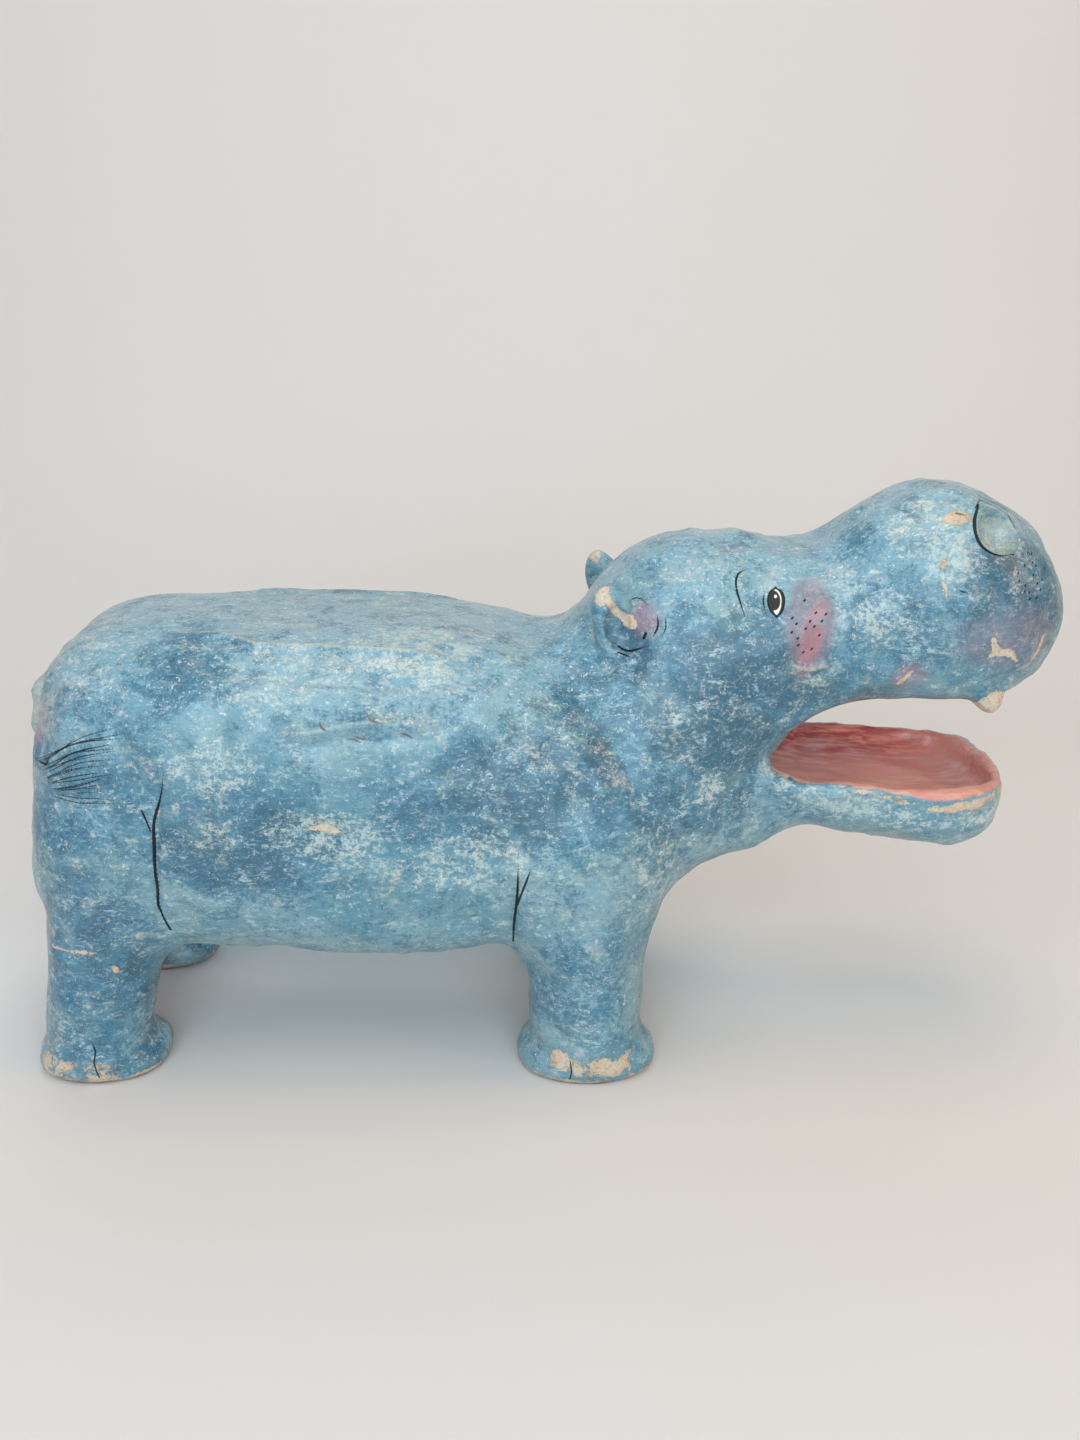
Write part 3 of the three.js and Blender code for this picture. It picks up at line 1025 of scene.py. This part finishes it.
@dataclass
class Skin:
    """The painted paper skin as one mesh.

    Attributes:
        form: the form it covers.
        markings: the lines drawn and chipped on it.
        folds: its ridges and furrows.
        patches: its soft patches of paint.
        eye: the painted eye.
        mouth: the painted mouth.
        cell: size of the cells of the first net.
        finest: longest edge at a drawn line.
        coarsest: longest edge anywhere.
        waves: size and height of each soft unevenness.
        crumples: size and height of each creased unevenness.
        knee: X and Z of the bulge at the back of the hind leg.
        pinch: X and Z of the dent below it.
        back: Z above which, and X behind which, the surface is smoother.
        sole: height over which the relief fades out above the floor.
        strokes: the markings laid on the form.
        creases: the folds laid on the form.
    """

    form: Hippopotamus
    markings: Markings = Markings()
    folds: tuple[Fold, ...] = FOLDS
    patches: tuple[Patch, ...] = PATCHES
    eye: Eye = Eye()
    mouth: Mouth = Mouth()
    cell: float = 3.9
    finest: float = 0.75
    coarsest: float = 20.0
    waves: Route = ((58.0, 1.6), (22.0, 0.9), (9.0, 0.35))
    crumples: Route = ((44.0, 1.8), (19.0, 1.1))
    knee: Flat = (-285.0, 116.0)
    pinch: Flat = (-283.0, 95.0)
    back: Flat = (226.0, 40.0)
    sole: float = 10.0
    strokes: list[tuple[Stroke, Line]] = field(init=False)
    creases: list[tuple[Fold, Line]] = field(init=False)

    def __post_init__(self) -> None:
        """Lays the markings and the folds out on the form."""
        marks = self.markings.strokes()
        laid = lay_out(self.form, [(flowing(list(mark.route)), mark.side) for mark in marks])
        self.strokes = [(mark, Line(points, 6.0)) for mark, points in zip(marks, laid)]
        sided = [(fold, side) for fold in self.folds for side in fold.sides]
        laid = lay_out(self.form, [(flowing(list(fold.route), 2.5), side) for fold, side in sided])
        self.creases = [(fold, Line(points, fold.width * 2.5)) for (fold, _), points in zip(sided, laid)]

    def wanted(self, p: Array) -> Array:
        """The longest edge allowed at points: short near drawn lines and small features.

        Args:
            p: points, one a row.

        Returns:
            Lengths in mm.
        """
        away = np.full(len(p), 12.0)
        for stroke, line in self.strokes:
            pick, d, _ = line.near(p)
            away[pick] = np.minimum(away[pick], np.maximum(d - stroke.width * 0.6, 0))
        q = p.T
        eye = np.maximum(self.eye.apart(q[0], q[2]) - 1.3, 0) * 8
        away = np.where(np.abs(q[1]) > 30, np.minimum(away, eye), away)
        away = np.minimum(away, np.abs(self.form.nostril.distance(q)) + 0.4)
        away = np.minimum(away, np.maximum(self.form.ear.distance(q), 0) + 1.6)
        away = np.minimum(away, np.abs(self.form.tooth.distance(q)) + 1.2)
        return np.minimum(self.finest + 0.55 * away, self.coarsest)

    def net(self) -> Net:
        """Makes the net over the form, fine where the drawn lines need it.

        Returns:
            The net, on the surface.
        """
        net = Net.over(self.form, self.cell)
        net.points = self.form.settle(net.points.T, 2).T
        for _ in range(4):
            before = len(net.points)
            net = net.refined(self.wanted)
            fresh = net.points[before:]
            if len(fresh):
                net.points[before:] = self.form.settle(fresh.T, 1).T
            log.info("net: %d triangles", len(net.faces))
        return net

    def relief(self, p: Array) -> Array:
        """How far the hand-made surface stands off the form.

        Args:
            p: points on the form, one a row.

        Returns:
            Distances along the outward direction.
        """
        out = np.zeros(len(p))
        for size, height in self.waves:
            out += height * np.array([noise.noise(Vector(v)) for v in (p / size + size).tolist()])
        for size, height in self.crumples:
            crumple = np.array([noise.noise(Vector(v)) for v in (p / size - size).tolist()])
            out += height * (0.35 - np.abs(crumple) * 2.0)
        above, behind = self.back
        out *= 1 - 0.6 * ease((p[:, 2] - above) / 20) * ease((behind - p[:, 0]) / 40)
        for fold, line in self.creases:
            pick, d, t = line.near(p)
            ends = ease(np.minimum(t, 1 - t) * 6)
            out[pick] += fold.height * np.exp(-((d / (fold.width / 2)) ** 2)) * ends
        knee = np.exp(-(((p[:, 0] - self.knee[0]) / 12) ** 2 + ((p[:, 2] - self.knee[1]) / 12) ** 2))
        pinch = np.exp(-(((p[:, 0] - self.pinch[0]) / 12) ** 2 + ((p[:, 2] - self.pinch[1]) / 9) ** 2))
        out += 2.0 * knee - 1.5 * pinch
        return out * ease((p[:, 2] - 1.0) / self.sole)

    def amounts(self, points: Array, up: Array) -> dict[Paint, Array]:
        """Works out how much of each paint the vertices carry.

        Args:
            points: points on the form, one a row.
            up: how far each point faces upwards, -1 to 1.

        Returns:
            Amounts by paint.
        """
        p = points.T
        held = {paint: np.zeros(len(points)) for paint in Paint}
        for stroke, line in self.strokes:
            pick, d, t = line.near(points)
            shape = np.where(t < 0.3, stroke.taper[0] + (1 - stroke.taper[0]) * ease(t / 0.3), 1.0)
            shape = np.where(t > 0.6, 1 - (1 - stroke.taper[1]) * ease((t - 0.6) / 0.4), shape)
            ramp = np.clip(0.5 + (stroke.width * 0.5 * shape - d) / stroke.paint.edge, 0, 1)
            held[stroke.paint][pick] = np.maximum(held[stroke.paint][pick], ramp)
        for patch in self.patches:
            held[patch.paint] = np.maximum(held[patch.paint], patch.amount_at(p))
        # painted top light: how far each point faces upwards, which lightens the blue there and gathers the
        # painted glints
        held[Paint.FROST] = ease((up - 0.1) / 0.7)
        self.eye.paint(held, p)
        self.tint_hollows(held, p)
        self.mouth.paint(held, p, self.form)
        held[Paint.BARE] = np.maximum(held[Paint.BARE], 0.66 * ease((8.0 - p[2]) / 6.0))
        # darker over the lowest few mm of the feet, where they stand on the floor
        held[Paint.GRIME] = 0.9 * ease((3.4 - p[2]) / 2.6)
        return held

    def tint_hollows(self, held: dict[Paint, Array], p: Array) -> None:
        """Paints the nostrils, painted shade in the ear hollows, and the tail.

        Args:
            held: the amounts at the points, which are changed.
            p: points as rows of X, Y and Z.
        """
        depth = np.maximum(-self.form.closed(p), 0.0)
        tail = np.min([bar.distance(p) for bar in self.form.tail], axis=0)
        cream = np.maximum(0.9 * ease((depth - 0.6) / 3.0), ease((3.0 - tail) / 4.0))
        held[Paint.CREAM] = np.maximum(held[Paint.CREAM], cream)
        # painted shade: the ear's hollow is darkened with the deep blue
        hollow = 1.2 * ease((1.0 - self.form.ear_hollow.distance(p)) / 2.0)
        held[Paint.DEEP] = np.maximum(held[Paint.DEEP], hollow)

    def build(self, box: tuple[Point, Point]) -> bpy.types.Object:
        """Makes the painted skin within the CAD solid's box.

        Args:
            box: lowest and highest corners of the CAD solid in metres.

        Returns:
            The skin.
        """
        net = self.net()
        normal = self.form.slope(net.points.T).T
        held = self.amounts(net.points, normal[:, 2])
        points = net.points + normal * self.relief(net.points)[:, None]
        points[:, 2] = np.maximum(points[:, 2], 0.0)
        points[:, 0] += SHIFT_X
        points *= MM
        low, high = np.array(box[0]), np.array(box[1])
        mine_low, mine_high = points.min(0), points.max(0)
        scale = np.minimum(1.0, (high - low - 2e-5) / (mine_high - mine_low))
        points = (points - (mine_low + mine_high) / 2) * scale + (low + high) / 2
        points[:, 2] += low[2] - points[:, 2].min()
        log.info("skin: %d triangles, box scale %s", len(net.faces), np.round(scale, 4))
        made = mesh_object("hippopotamus_skin", points.tolist(), net.faces.tolist())
        for paint, amount in held.items():
            layer = made.data.attributes.new(paint.value, "FLOAT", "POINT")
            layer.data.foreach_set("value", amount.astype(np.float32))
        made.data.update()
        return made

    def dress(self, made: bpy.types.Object, finish: "PaintedPaper") -> None:
        """Paints the skin and hands it over as the animal's piece.

        Args:
            made: the skin's mesh.
            finish: its finish.
        """
        made.data.materials.append(finish.build())
        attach(made, "root")
        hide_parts("hippopotamus")


# ---------------- finish


Tint = tuple[float, float, float]
Socket = bpy.types.NodeSocket
Inputs = dict[str | int, Socket | float | Tint]


def linear(red: int, green: int, blue: int) -> Tint:
    """Turns a colour of sRGB bytes into linear light.

    Args:
        red: red byte.
        green: green byte.
        blue: blue byte.

    Returns:
        The three linear amounts.
    """
    out = []
    for byte in (red, green, blue):
        v = byte / 255
        out.append(v / 12.92 if v <= 0.04045 else ((v + 0.055) / 1.055) ** 2.4)
    return tuple(out)


class Hue(Enum):
    """The colours of the skin, as sRGB bytes."""

    GROUND_LIGHT = (122, 158, 168)  # ground coat, lighter
    GROUND_DARK = (88, 138, 154)  # ground coat, darker
    PAINTED_LIGHT_BLUE = (136, 182, 202)  # painted top light: a lighter blue on the surfaces that face up
    DEEP = (56, 114, 138)  # sponged blue, and the painted shade in the ear hollows
    DEEPER = (36, 86, 108)  # the middle of the sponged blue
    GREEN = (158, 178, 162)  # greenish dry brushing
    PALE = (190, 202, 196)  # pale dry brushing
    FLAKES = (192, 208, 208)  # flaky pale dabs
    WARM = (196, 194, 182)  # warm grey dabs
    DASHES = (176, 200, 208)  # pale dashes of a stiff brush
    SPECKS_AND_GLINTS = (220, 228, 232)  # white flecks of paint, with painted glints of the varnish where they gather on surfaces that face up
    MAUVE = (132, 114, 126)  # outer blush
    ROSE = (200, 122, 126)  # inner blush
    CREAM = (196, 198, 182)  # cream of the tail and the nostrils, and of the ridges: worn paint with painted highlight on the flank, painted highlight under the cheek
    FLESH = (216, 142, 126)  # colour of the mouth
    FLESH_LIGHT = (226, 168, 150)  # its lighter strokes
    BRICK = (164, 68, 64)  # painted shade at the back and the far side of the mouth
    PAPER = (208, 194, 174)  # bare paper
    PAPER_TAN = (206, 180, 154)  # bare paper, browner
    GRIME = (74, 68, 62)  # darker colour over the lowest few mm of the feet
    EYE = (236, 232, 222)  # white of the eye
    RUST = (96, 78, 60)  # brown cracks
    INK = (8, 10, 14)  # ink lines

    @property
    def light(self) -> Tint:
        """The colour in linear light."""
        return linear(*self.value)


@dataclass(frozen=True)
class Grain:
    """One noise pattern of the paint.

    Attributes:
        size: size of its features in mm.
        seed: picks the pattern.
        detail: how many finer layers it has.
        rough: strength of the finer layers.
        stretch: how much it is squeezed along X, Y and Z.
        swirl: how much it is bent.
        lean: degrees that its long direction leans nose-up.
    """

    size: float
    seed: float
    detail: float = 3.0
    rough: float = 0.6
    stretch: Point = (1.0, 1.0, 1.0)
    swirl: float = 0.0
    lean: float = 0.0


class PaintedPaper:
    """The finish of the skin: mottled blue paint, ink, worn chips and a satin varnish."""

    LARGE = Grain(70, 1.0, 2.0)
    MIDDLE = Grain(19, 2.0, 5.0, 0.68, swirl=0.7)
    BRUSH = Grain(6.5, 3.0, 5.0, 0.8, (0.8, 1.0, 1.2), 0.5, 35)
    FINE = Grain(2.4, 4.0, 4.0, 0.8)
    SPARK = Grain(1.9, 5.0, 2.0, 0.6)
    GREEN = Grain(30, 6.0, 3.0, 0.6)
    BRISTLE = Grain(3.2, 7.0, 3.0, 0.6, (0.14, 1.0, 1.0))
    STAIN = Grain(9, 8.0)
    SPONGE = Grain(3.4, 9.0, 4.0, 0.8, swirl=0.8)
    DABS = Grain(3.6, 10.0, 5.0, 0.85, (0.6, 1.0, 1.3), 0.4, -40)
    FLAKES = Grain(16, 11.0, 5.0, 0.75, (0.8, 1.0, 1.1), 0.6, -35)
    DASHES = Grain(3.0, 12.0, 4.0, 0.8, (0.5, 1.0, 1.4), 0.5, 30)
    WARM = Grain(26, 13.0, 4.0, 0.7)
    SHADE: Tint = (0.66, 0.72, 0.76)  # what the sponge darkens the blue by
    SOIL: Tint = (0.66, 0.62, 0.57)  # what bare paper is darkened by in places
    ROUGH = (0.24, 0.5)
    COAT = 0.45  # weight of the varnish, which ink covers
    COAT_ROUGH = 0.2
    BUMP = 0.7
    BUMP_DEPTH = 0.0012

    def __init__(self) -> None:
        """Starts the material and its node tree, with the patterns that several layers share."""
        self.material = bpy.data.materials.new("painted_paper")
        self.material.use_nodes = True
        self.tree = self.material.node_tree
        self.tree.nodes.clear()
        self.mid = self.grain(self.MIDDLE)
        self.brush = self.grain(self.BRUSH)
        self.fine = self.grain(self.FINE)
        self.patchy = self.blend(self.mid, 0.52, self.fine)
        self.brushy = self.blend(self.brush, 0.5, self.fine)

    def node(self, kind: str, inputs: Inputs, **settings: object) -> bpy.types.Node:
        """Adds a node.

        Args:
            kind: the node's type name.
            inputs: what its inputs take.
            settings: its properties.

        Returns:
            The node.
        """
        made = self.tree.nodes.new(kind)
        for key, value in settings.items():
            setattr(made, key, value)
        for key, value in inputs.items():
            self.feed(value, made.inputs[key])
        return made

    def feed(self, value: Socket | float | Tint, socket: Socket) -> None:
        """Gives an input an output, a number, a linear colour or the X, Y and Z of a vector."""
        if isinstance(value, Socket):
            self.tree.links.new(value, socket)
        elif isinstance(value, tuple) and socket.type == "RGBA":
            socket.default_value = value + (1.0,)
        else:
            socket.default_value = value

    def amount(self, paint: Paint) -> Socket:
        """Reads the amount of a paint held at the vertices."""
        return self.node("ShaderNodeAttribute", {}, attribute_name=paint.value).outputs["Fac"]

    def grain(self, grain: Grain) -> Socket:
        """Noise in the paint.

        Args:
            grain: the pattern.

        Returns:
            The output that carries it, about 0.5 on average.
        """
        place = self.node("ShaderNodeTexCoord", {}).outputs["Object"]
        turned = (0.0, math.radians(grain.lean), 0.0)
        moved = (0.37 * grain.seed, 0.71 * grain.seed, 0.53 * grain.seed)
        mapping = self.node(
            "ShaderNodeMapping",
            {"Vector": place, "Location": moved, "Rotation": turned, "Scale": grain.stretch},
        )
        made = self.node(
            "ShaderNodeTexNoise",
            {
                "Vector": mapping.outputs["Vector"],
                "Scale": 1000.0 / grain.size,
                "Detail": grain.detail,
                "Roughness": grain.rough,
                "Distortion": grain.swirl,
            },
            noise_dimensions="3D",
        )
        return made.outputs["Fac"]

    def math(self, kind: str, a: Socket | float, b: Socket | float, clamp: bool = False) -> Socket:
        """Combines two amounts, each an output or a number, by the named operation."""
        return self.node("ShaderNodeMath", {0: a, 1: b}, operation=kind, use_clamp=clamp).outputs[0]

    def times(self, a: Socket | float, b: Socket | float) -> Socket:
        """The product of two amounts, each an output or a number."""
        return self.math("MULTIPLY", a, b)

    def blend(self, a: Socket, share: float, b: Socket) -> Socket:
        """Mixes two patterns, of which the first has the given share."""
        return self.math("ADD", self.times(a, share), self.times(b, 1.0 - share))

    def raised(self, pattern: Socket, paint: Paint, by: float) -> Socket:
        """A pattern lifted by an amount where a paint is held, so that its layer covers more there."""
        return self.math("ADD", self.times(self.amount(paint), by), pattern)

    def step(self, value: Socket, low: float, high: float, top: float = 1.0) -> Socket:
        """A smooth step of a pattern between two of its values, from 0 up to the top."""
        ends = {"Value": value, "From Min": low, "From Max": high, "To Max": top}
        return self.node("ShaderNodeMapRange", ends, interpolation_type="SMOOTHSTEP").outputs["Result"]

    def lay(self, under: Socket | Tint, over: Socket | Tint, amount: Socket, blend: str = "MIX") -> Socket:
        """Lays one colour over another by an amount, and gives the output that carries the result."""
        settings = {"data_type": "RGBA", "blend_type": blend, "clamp_factor": True}
        return self.node("ShaderNodeMix", {0: amount, 6: under, 7: over}, **settings).outputs[2]

    def mottled(self) -> Socket:
        """The blue ground with its painted top light, sponged, dry-brushed and flecked layers, and white
        flecks with painted glints.

        Returns:
            The output that carries the colour.
        """
        ground = self.step(self.grain(self.LARGE), 0.38, 0.62)
        colour = self.lay(Hue.GROUND_LIGHT.light, Hue.GROUND_DARK.light, ground)
        # painted top light: the blue is lighter where the surface faces up
        colour = self.lay(colour, Hue.PAINTED_LIGHT_BLUE.light, self.times(self.amount(Paint.FROST), 0.5))
        deep = self.raised(self.patchy, Paint.DEEP, 0.16)
        colour = self.lay(colour, Hue.DEEP.light, self.step(deep, 0.495, 0.565, 0.9))
        colour = self.lay(colour, Hue.DEEPER.light, self.step(deep, 0.59, 0.65, 0.75))
        green = self.step(self.grain(self.GREEN), 0.5, 0.66)
        green = self.times(green, self.step(self.brushy, 0.42, 0.62, 0.6))
        colour = self.lay(colour, Hue.GREEN.light, green)
        pale = self.raised(self.brushy, Paint.PALE, 0.085)
        colour = self.lay(colour, Hue.PALE.light, self.step(pale, 0.53, 0.64, 0.85))
        sponge = self.step(self.grain(self.SPONGE), 0.53, 0.61, 0.8)
        colour = self.lay(colour, self.SHADE, sponge, "MULTIPLY")
        dabs = self.step(self.grain(self.DABS), 0.50, 0.58, 0.62)
        flakes = self.times(self.step(self.grain(self.FLAKES), 0.52, 0.60), dabs)
        colour = self.lay(colour, Hue.FLAKES.light, flakes)
        warm = self.step(self.grain(self.WARM), 0.54, 0.64)
        warm = self.times(warm, self.step(self.brushy, 0.46, 0.58, 0.5))
        colour = self.lay(colour, Hue.WARM.light, warm)
        colour = self.lay(colour, Hue.DASHES.light, self.step(self.grain(self.DASHES), 0.55, 0.62, 0.3))
        # white flecks, with painted glints of the varnish gathering where the surface faces up
        specks_and_glints = self.raised(self.blend(self.grain(self.SPARK), 0.7, self.brush), Paint.FROST, 0.05)
        return self.lay(colour, Hue.SPECKS_AND_GLINTS.light, self.step(specks_and_glints, 0.63, 0.68, 0.6))

    def tinted(self, colour: Socket) -> Socket:
        """Adds the blush, the cream places and the mouth.

        Args:
            colour: the colour below.

        Returns:
            The output that carries the colour.
        """
        mauve = self.times(self.amount(Paint.MAUVE), self.step(self.brushy, 0.32, 0.56))
        colour = self.lay(colour, Hue.MAUVE.light, self.times(mauve, 0.75))
        rose = self.times(self.amount(Paint.ROSE), self.step(self.patchy, 0.34, 0.56))
        colour = self.lay(colour, Hue.ROSE.light, self.times(rose, 0.62))
        cream = self.times(self.amount(Paint.CREAM), self.step(self.brushy, 0.3, 0.6))
        colour = self.lay(colour, Hue.CREAM.light, self.times(cream, 0.85))
        bristle = self.grain(self.BRISTLE)
        flesh = self.lay(Hue.FLESH.light, Hue.FLESH_LIGHT.light, self.step(bristle, 0.40, 0.62))
        # painted shade at the back of the mouth, broken up by the bristle pattern
        brick = self.times(self.amount(Paint.BRICK), self.step(bristle, 0.30, 0.60))
        flesh = self.lay(flesh, Hue.BRICK.light, brick)
        return self.lay(colour, flesh, self.step(self.amount(Paint.FLESH), 0.35, 0.65))

    def chips(self) -> Socket:
        """Where the paint has chipped off, with ragged edges.

        Returns:
            The output that carries how far it is off.
        """
        ragged = self.times(self.math("SUBTRACT", self.mid, 0.5), 1.6)
        chip = self.math("ADD", self.amount(Paint.BARE), ragged)
        chip = self.math("ADD", chip, self.times(self.math("SUBTRACT", self.fine, 0.5), 1.0))
        return self.step(chip, 0.48, 0.54)

    def worn(self, colour: Socket, chipped: Socket) -> Socket:
        """Adds the bare paper of the chips and the darker colour at the bottom of the feet.

        Args:
            colour: the colour below.
            chipped: how far the paint is off.

        Returns:
            The output that carries the colour.
        """
        stain = self.step(self.grain(self.STAIN), 0.42, 0.60)
        paper = self.lay(Hue.PAPER.light, Hue.PAPER_TAN.light, stain)
        paper = self.lay(paper, self.SOIL, self.step(self.fine, 0.48, 0.64), "MULTIPLY")
        colour = self.lay(colour, paper, chipped)
        grime = self.times(self.amount(Paint.GRIME), self.step(self.patchy, 0.36, 0.56))
        return self.lay(colour, Hue.GRIME.light, grime)

    def surface(self, chipped: Socket) -> Socket:
        """The small relief of brush strokes and chips.

        Args:
            chipped: how far the paint is off.

        Returns:
            The output that carries the surface's direction.
        """
        height = self.blend(self.brush, 0.6, self.fine)
        height = self.math("SUBTRACT", height, self.times(chipped, 0.5))
        inputs = {"Height": height, "Strength": self.BUMP, "Distance": self.BUMP_DEPTH}
        return self.node("ShaderNodeBump", inputs).outputs["Normal"]

    def build(self) -> bpy.types.Material:
        """Puts the finish together.

        Returns:
            The material.
        """
        chipped = self.chips()
        colour = self.worn(self.tinted(self.mottled()), chipped)
        colour = self.lay(colour, Hue.EYE.light, self.step(self.amount(Paint.WHITE), 0.4, 0.6))
        colour = self.lay(colour, Hue.RUST.light, self.step(self.amount(Paint.RUST), 0.36, 0.62, 0.85))
        inked = self.step(self.amount(Paint.INK), 0.34, 0.60, 0.96)
        colour = self.lay(colour, Hue.INK.light, inked)
        least, most = self.ROUGH
        rough = self.node("ShaderNodeMapRange", {"Value": self.mid, "To Min": least, "To Max": most})
        shader = self.node(
            "ShaderNodeBsdfPrincipled",
            {
                "Base Color": colour,
                "Roughness": self.math("MAXIMUM", rough.outputs["Result"], inked),
                "Coat Weight": self.math("SUBTRACT", self.COAT, inked, clamp=True),
                "Coat Roughness": self.COAT_ROUGH,
                "Normal": self.surface(chipped),
            },
        )
        self.node("ShaderNodeOutputMaterial", {"Surface": shader.outputs["BSDF"]})
        return self.material


# ---------------- stage


@dataclass(frozen=True)
class MattFinish:
    """A plain matt finish.

    Attributes:
        name: its name.
        colour: sRGB bytes.
        rough: roughness.
    """

    name: str
    colour: tuple[int, int, int]
    rough: float

    def build(self) -> bpy.types.Material:
        """Makes the material.

        Returns:
            The material.
        """
        made = bpy.data.materials.new(self.name)
        made.use_nodes = True
        shader = made.node_tree.nodes["Principled BSDF"]
        shader.inputs["Base Color"].default_value = linear(*self.colour) + (1.0,)
        shader.inputs["Roughness"].default_value = self.rough
        return made


@dataclass(frozen=True)
class PaperTub:
    """A pale seamless sheet that lies under the animal and curves up on all four sides.

    Attributes:
        low: its least X and Y in metres.
        high: its greatest X and Y.
        curve: radius of the curve between floor and wall.
        corner: radius of its upright corners.
        height: height of its walls.
        corner_steps: facets of a corner.
        curve_steps: facets of the curve.
        finish: its finish.
    """

    low: Flat = (-4.0, -4.5)
    high: Flat = (4.0, 1.35)
    curve: float = 0.9
    corner: float = 1.2
    height: float = 3.4
    corner_steps: int = 8
    curve_steps: int = 20
    finish: MattFinish = MattFinish("paper_sheet", (228, 224, 220), 0.7)

    def outline(self, inset: float) -> list[Flat]:
        """The sheet's outline seen from above.

        Args:
            inset: how far it lies inside the walls.

        Returns:
            Points as X and Y.
        """
        radius = self.corner - inset
        points = []
        for k, (sx, sy) in enumerate(((1, 1), (-1, 1), (-1, -1), (1, -1))):
            cx = (self.high[0] if sx > 0 else self.low[0]) - sx * self.corner
            cy = (self.high[1] if sy > 0 else self.low[1]) - sy * self.corner
            for i in range(self.corner_steps + 1):
                a = math.radians(90 * k + 90 * i / self.corner_steps)
                points.append((cx + radius * math.cos(a), cy + radius * math.sin(a)))
        return points

    def build(self) -> bpy.types.Object:
        """Makes the sheet.

        Returns:
            The sheet.
        """
        rings = []
        for i in range(self.curve_steps + 1):
            a = math.radians(90 * i / self.curve_steps)
            rings.append((self.curve * (1 - math.sin(a)), self.curve * (1 - math.cos(a))))
        rings.append((0.0, self.height))
        points = [(x, y, z) for inset, z in rings for x, y in self.outline(inset)]
        n = len(self.outline(0.0))
        faces = [tuple(range(n))]
        for k in range(len(rings) - 1):
            for i in range(n):
                m = (i + 1) % n
                faces.append((k * n + i, (k + 1) * n + i, (k + 1) * n + m, k * n + m))
        made = mesh_object("paper_sheet", points, faces)
        made.data.materials.append(self.finish.build())
        return made


@dataclass(frozen=True)
class Softbox:
    """A rectangular soft light.

    Attributes:
        name: its name.
        at: place in metres.
        aim: the point it faces.
        size: width and height.
        power: watts.
        colour: linear colour.
    """

    name: str
    at: Point
    aim: Point
    size: Flat
    power: float
    colour: Point

    def place(self) -> None:
        """Puts the light in the scene."""
        light = bpy.data.lights.new(self.name, "AREA")
        light.shape = "RECTANGLE"
        light.size, light.size_y = self.size
        light.energy = self.power
        light.color = self.colour
        made = bpy.data.objects.new(self.name, light)
        made.location = self.at
        made.rotation_euler = (Vector(self.aim) - Vector(self.at)).to_track_quat("-Z", "Y").to_euler()
        bpy.context.collection.objects.link(made)


@dataclass(frozen=True)
class Lighting:
    """The lights of the room and its faint sky.

    Attributes:
        softboxes: the lights.
        sky: linear colour of the sky.
        sky_strength: its strength.
    """

    softboxes: tuple[Softbox, ...] = (
        Softbox("front", (0.0, -2.3, 1.0), (0.0, 0.0, 0.2), (2.5, 1.5), 52.3, (0.70, 0.88, 1.0)),
        Softbox("left", (-1.8, -0.6, 1.2), (0.0, 0.0, 0.1), (1.2, 1.2), 6.5, (1.0, 0.65, 0.70)),
        Softbox("right", (1.8, -0.6, 1.2), (0.0, 0.0, 0.1), (1.2, 1.2), 10.2, (1.0, 0.42, 0.08)),
        Softbox("high", (0.0, 0.1, 2.6), (0.0, 0.0, 0.0), (1.0, 1.0), 15.8, (1.0, 0.82, 0.63)),
        Softbox("back", (0.0, 1.0, 1.8), (0.0, 0.0, 0.0), (2.0, 1.0), 6.3, (0.25, 0.70, 1.0)),
        Softbox("forward", (0.0, -0.9, 1.8), (0.0, 0.0, 0.0), (2.0, 1.0), 9.7, (0.80, 0.96, 1.0)),
    )
    sky: Point = (0.92, 0.96, 1.0)
    sky_strength: float = 0.02

    def place(self) -> None:
        """Sets the lights, the sky and a plain view transform."""
        for softbox in self.softboxes:
            softbox.place()
        world = bpy.data.worlds.new("room")
        world.use_nodes = True
        background = world.node_tree.nodes["Background"]
        background.inputs["Color"].default_value = self.sky + (1.0,)
        background.inputs["Strength"].default_value = self.sky_strength
        bpy.context.scene.world = world
        bpy.context.scene.view_settings.view_transform = "Standard"


@dataclass(frozen=True)
class Viewpoint:
    """The camera in front of the animal's right side, a little above it.

    Attributes:
        at: place in metres.
        down: degrees that it looks down.
        lens: focal length in mm.
        sensor: sensor size in mm along the picture's longer side.
    """

    at: Point = (0.0012, -0.7079, 0.4385)
    down: float = 19.68
    lens: float = 32.5
    sensor: float = 36.0

    def place(self) -> None:
        """Puts the camera in the scene."""
        camera = bpy.data.cameras.new("camera")
        camera.lens = self.lens
        camera.sensor_width = self.sensor
        camera.sensor_fit = "AUTO"
        made = bpy.data.objects.new("camera", camera)
        made.location = self.at
        made.rotation_euler = (math.radians(90 - self.down), 0.0, 0.0)
        bpy.context.collection.objects.link(made)
        bpy.context.scene.camera = made


def main() -> None:
    logging.basicConfig(level=logging.INFO, format="%(name)s: %(message)s")
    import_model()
    Viewpoint().place()
    log.info("camera set")
    skin = Skin(Hippopotamus())
    skin.dress(skin.build(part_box("hippopotamus")), PaintedPaper())
    log.info("skin painted")
    PaperTub().build()
    log.info("stage set")
    Lighting().place()
    log.info("lights set")


if __name__ == "__main__":
    main()
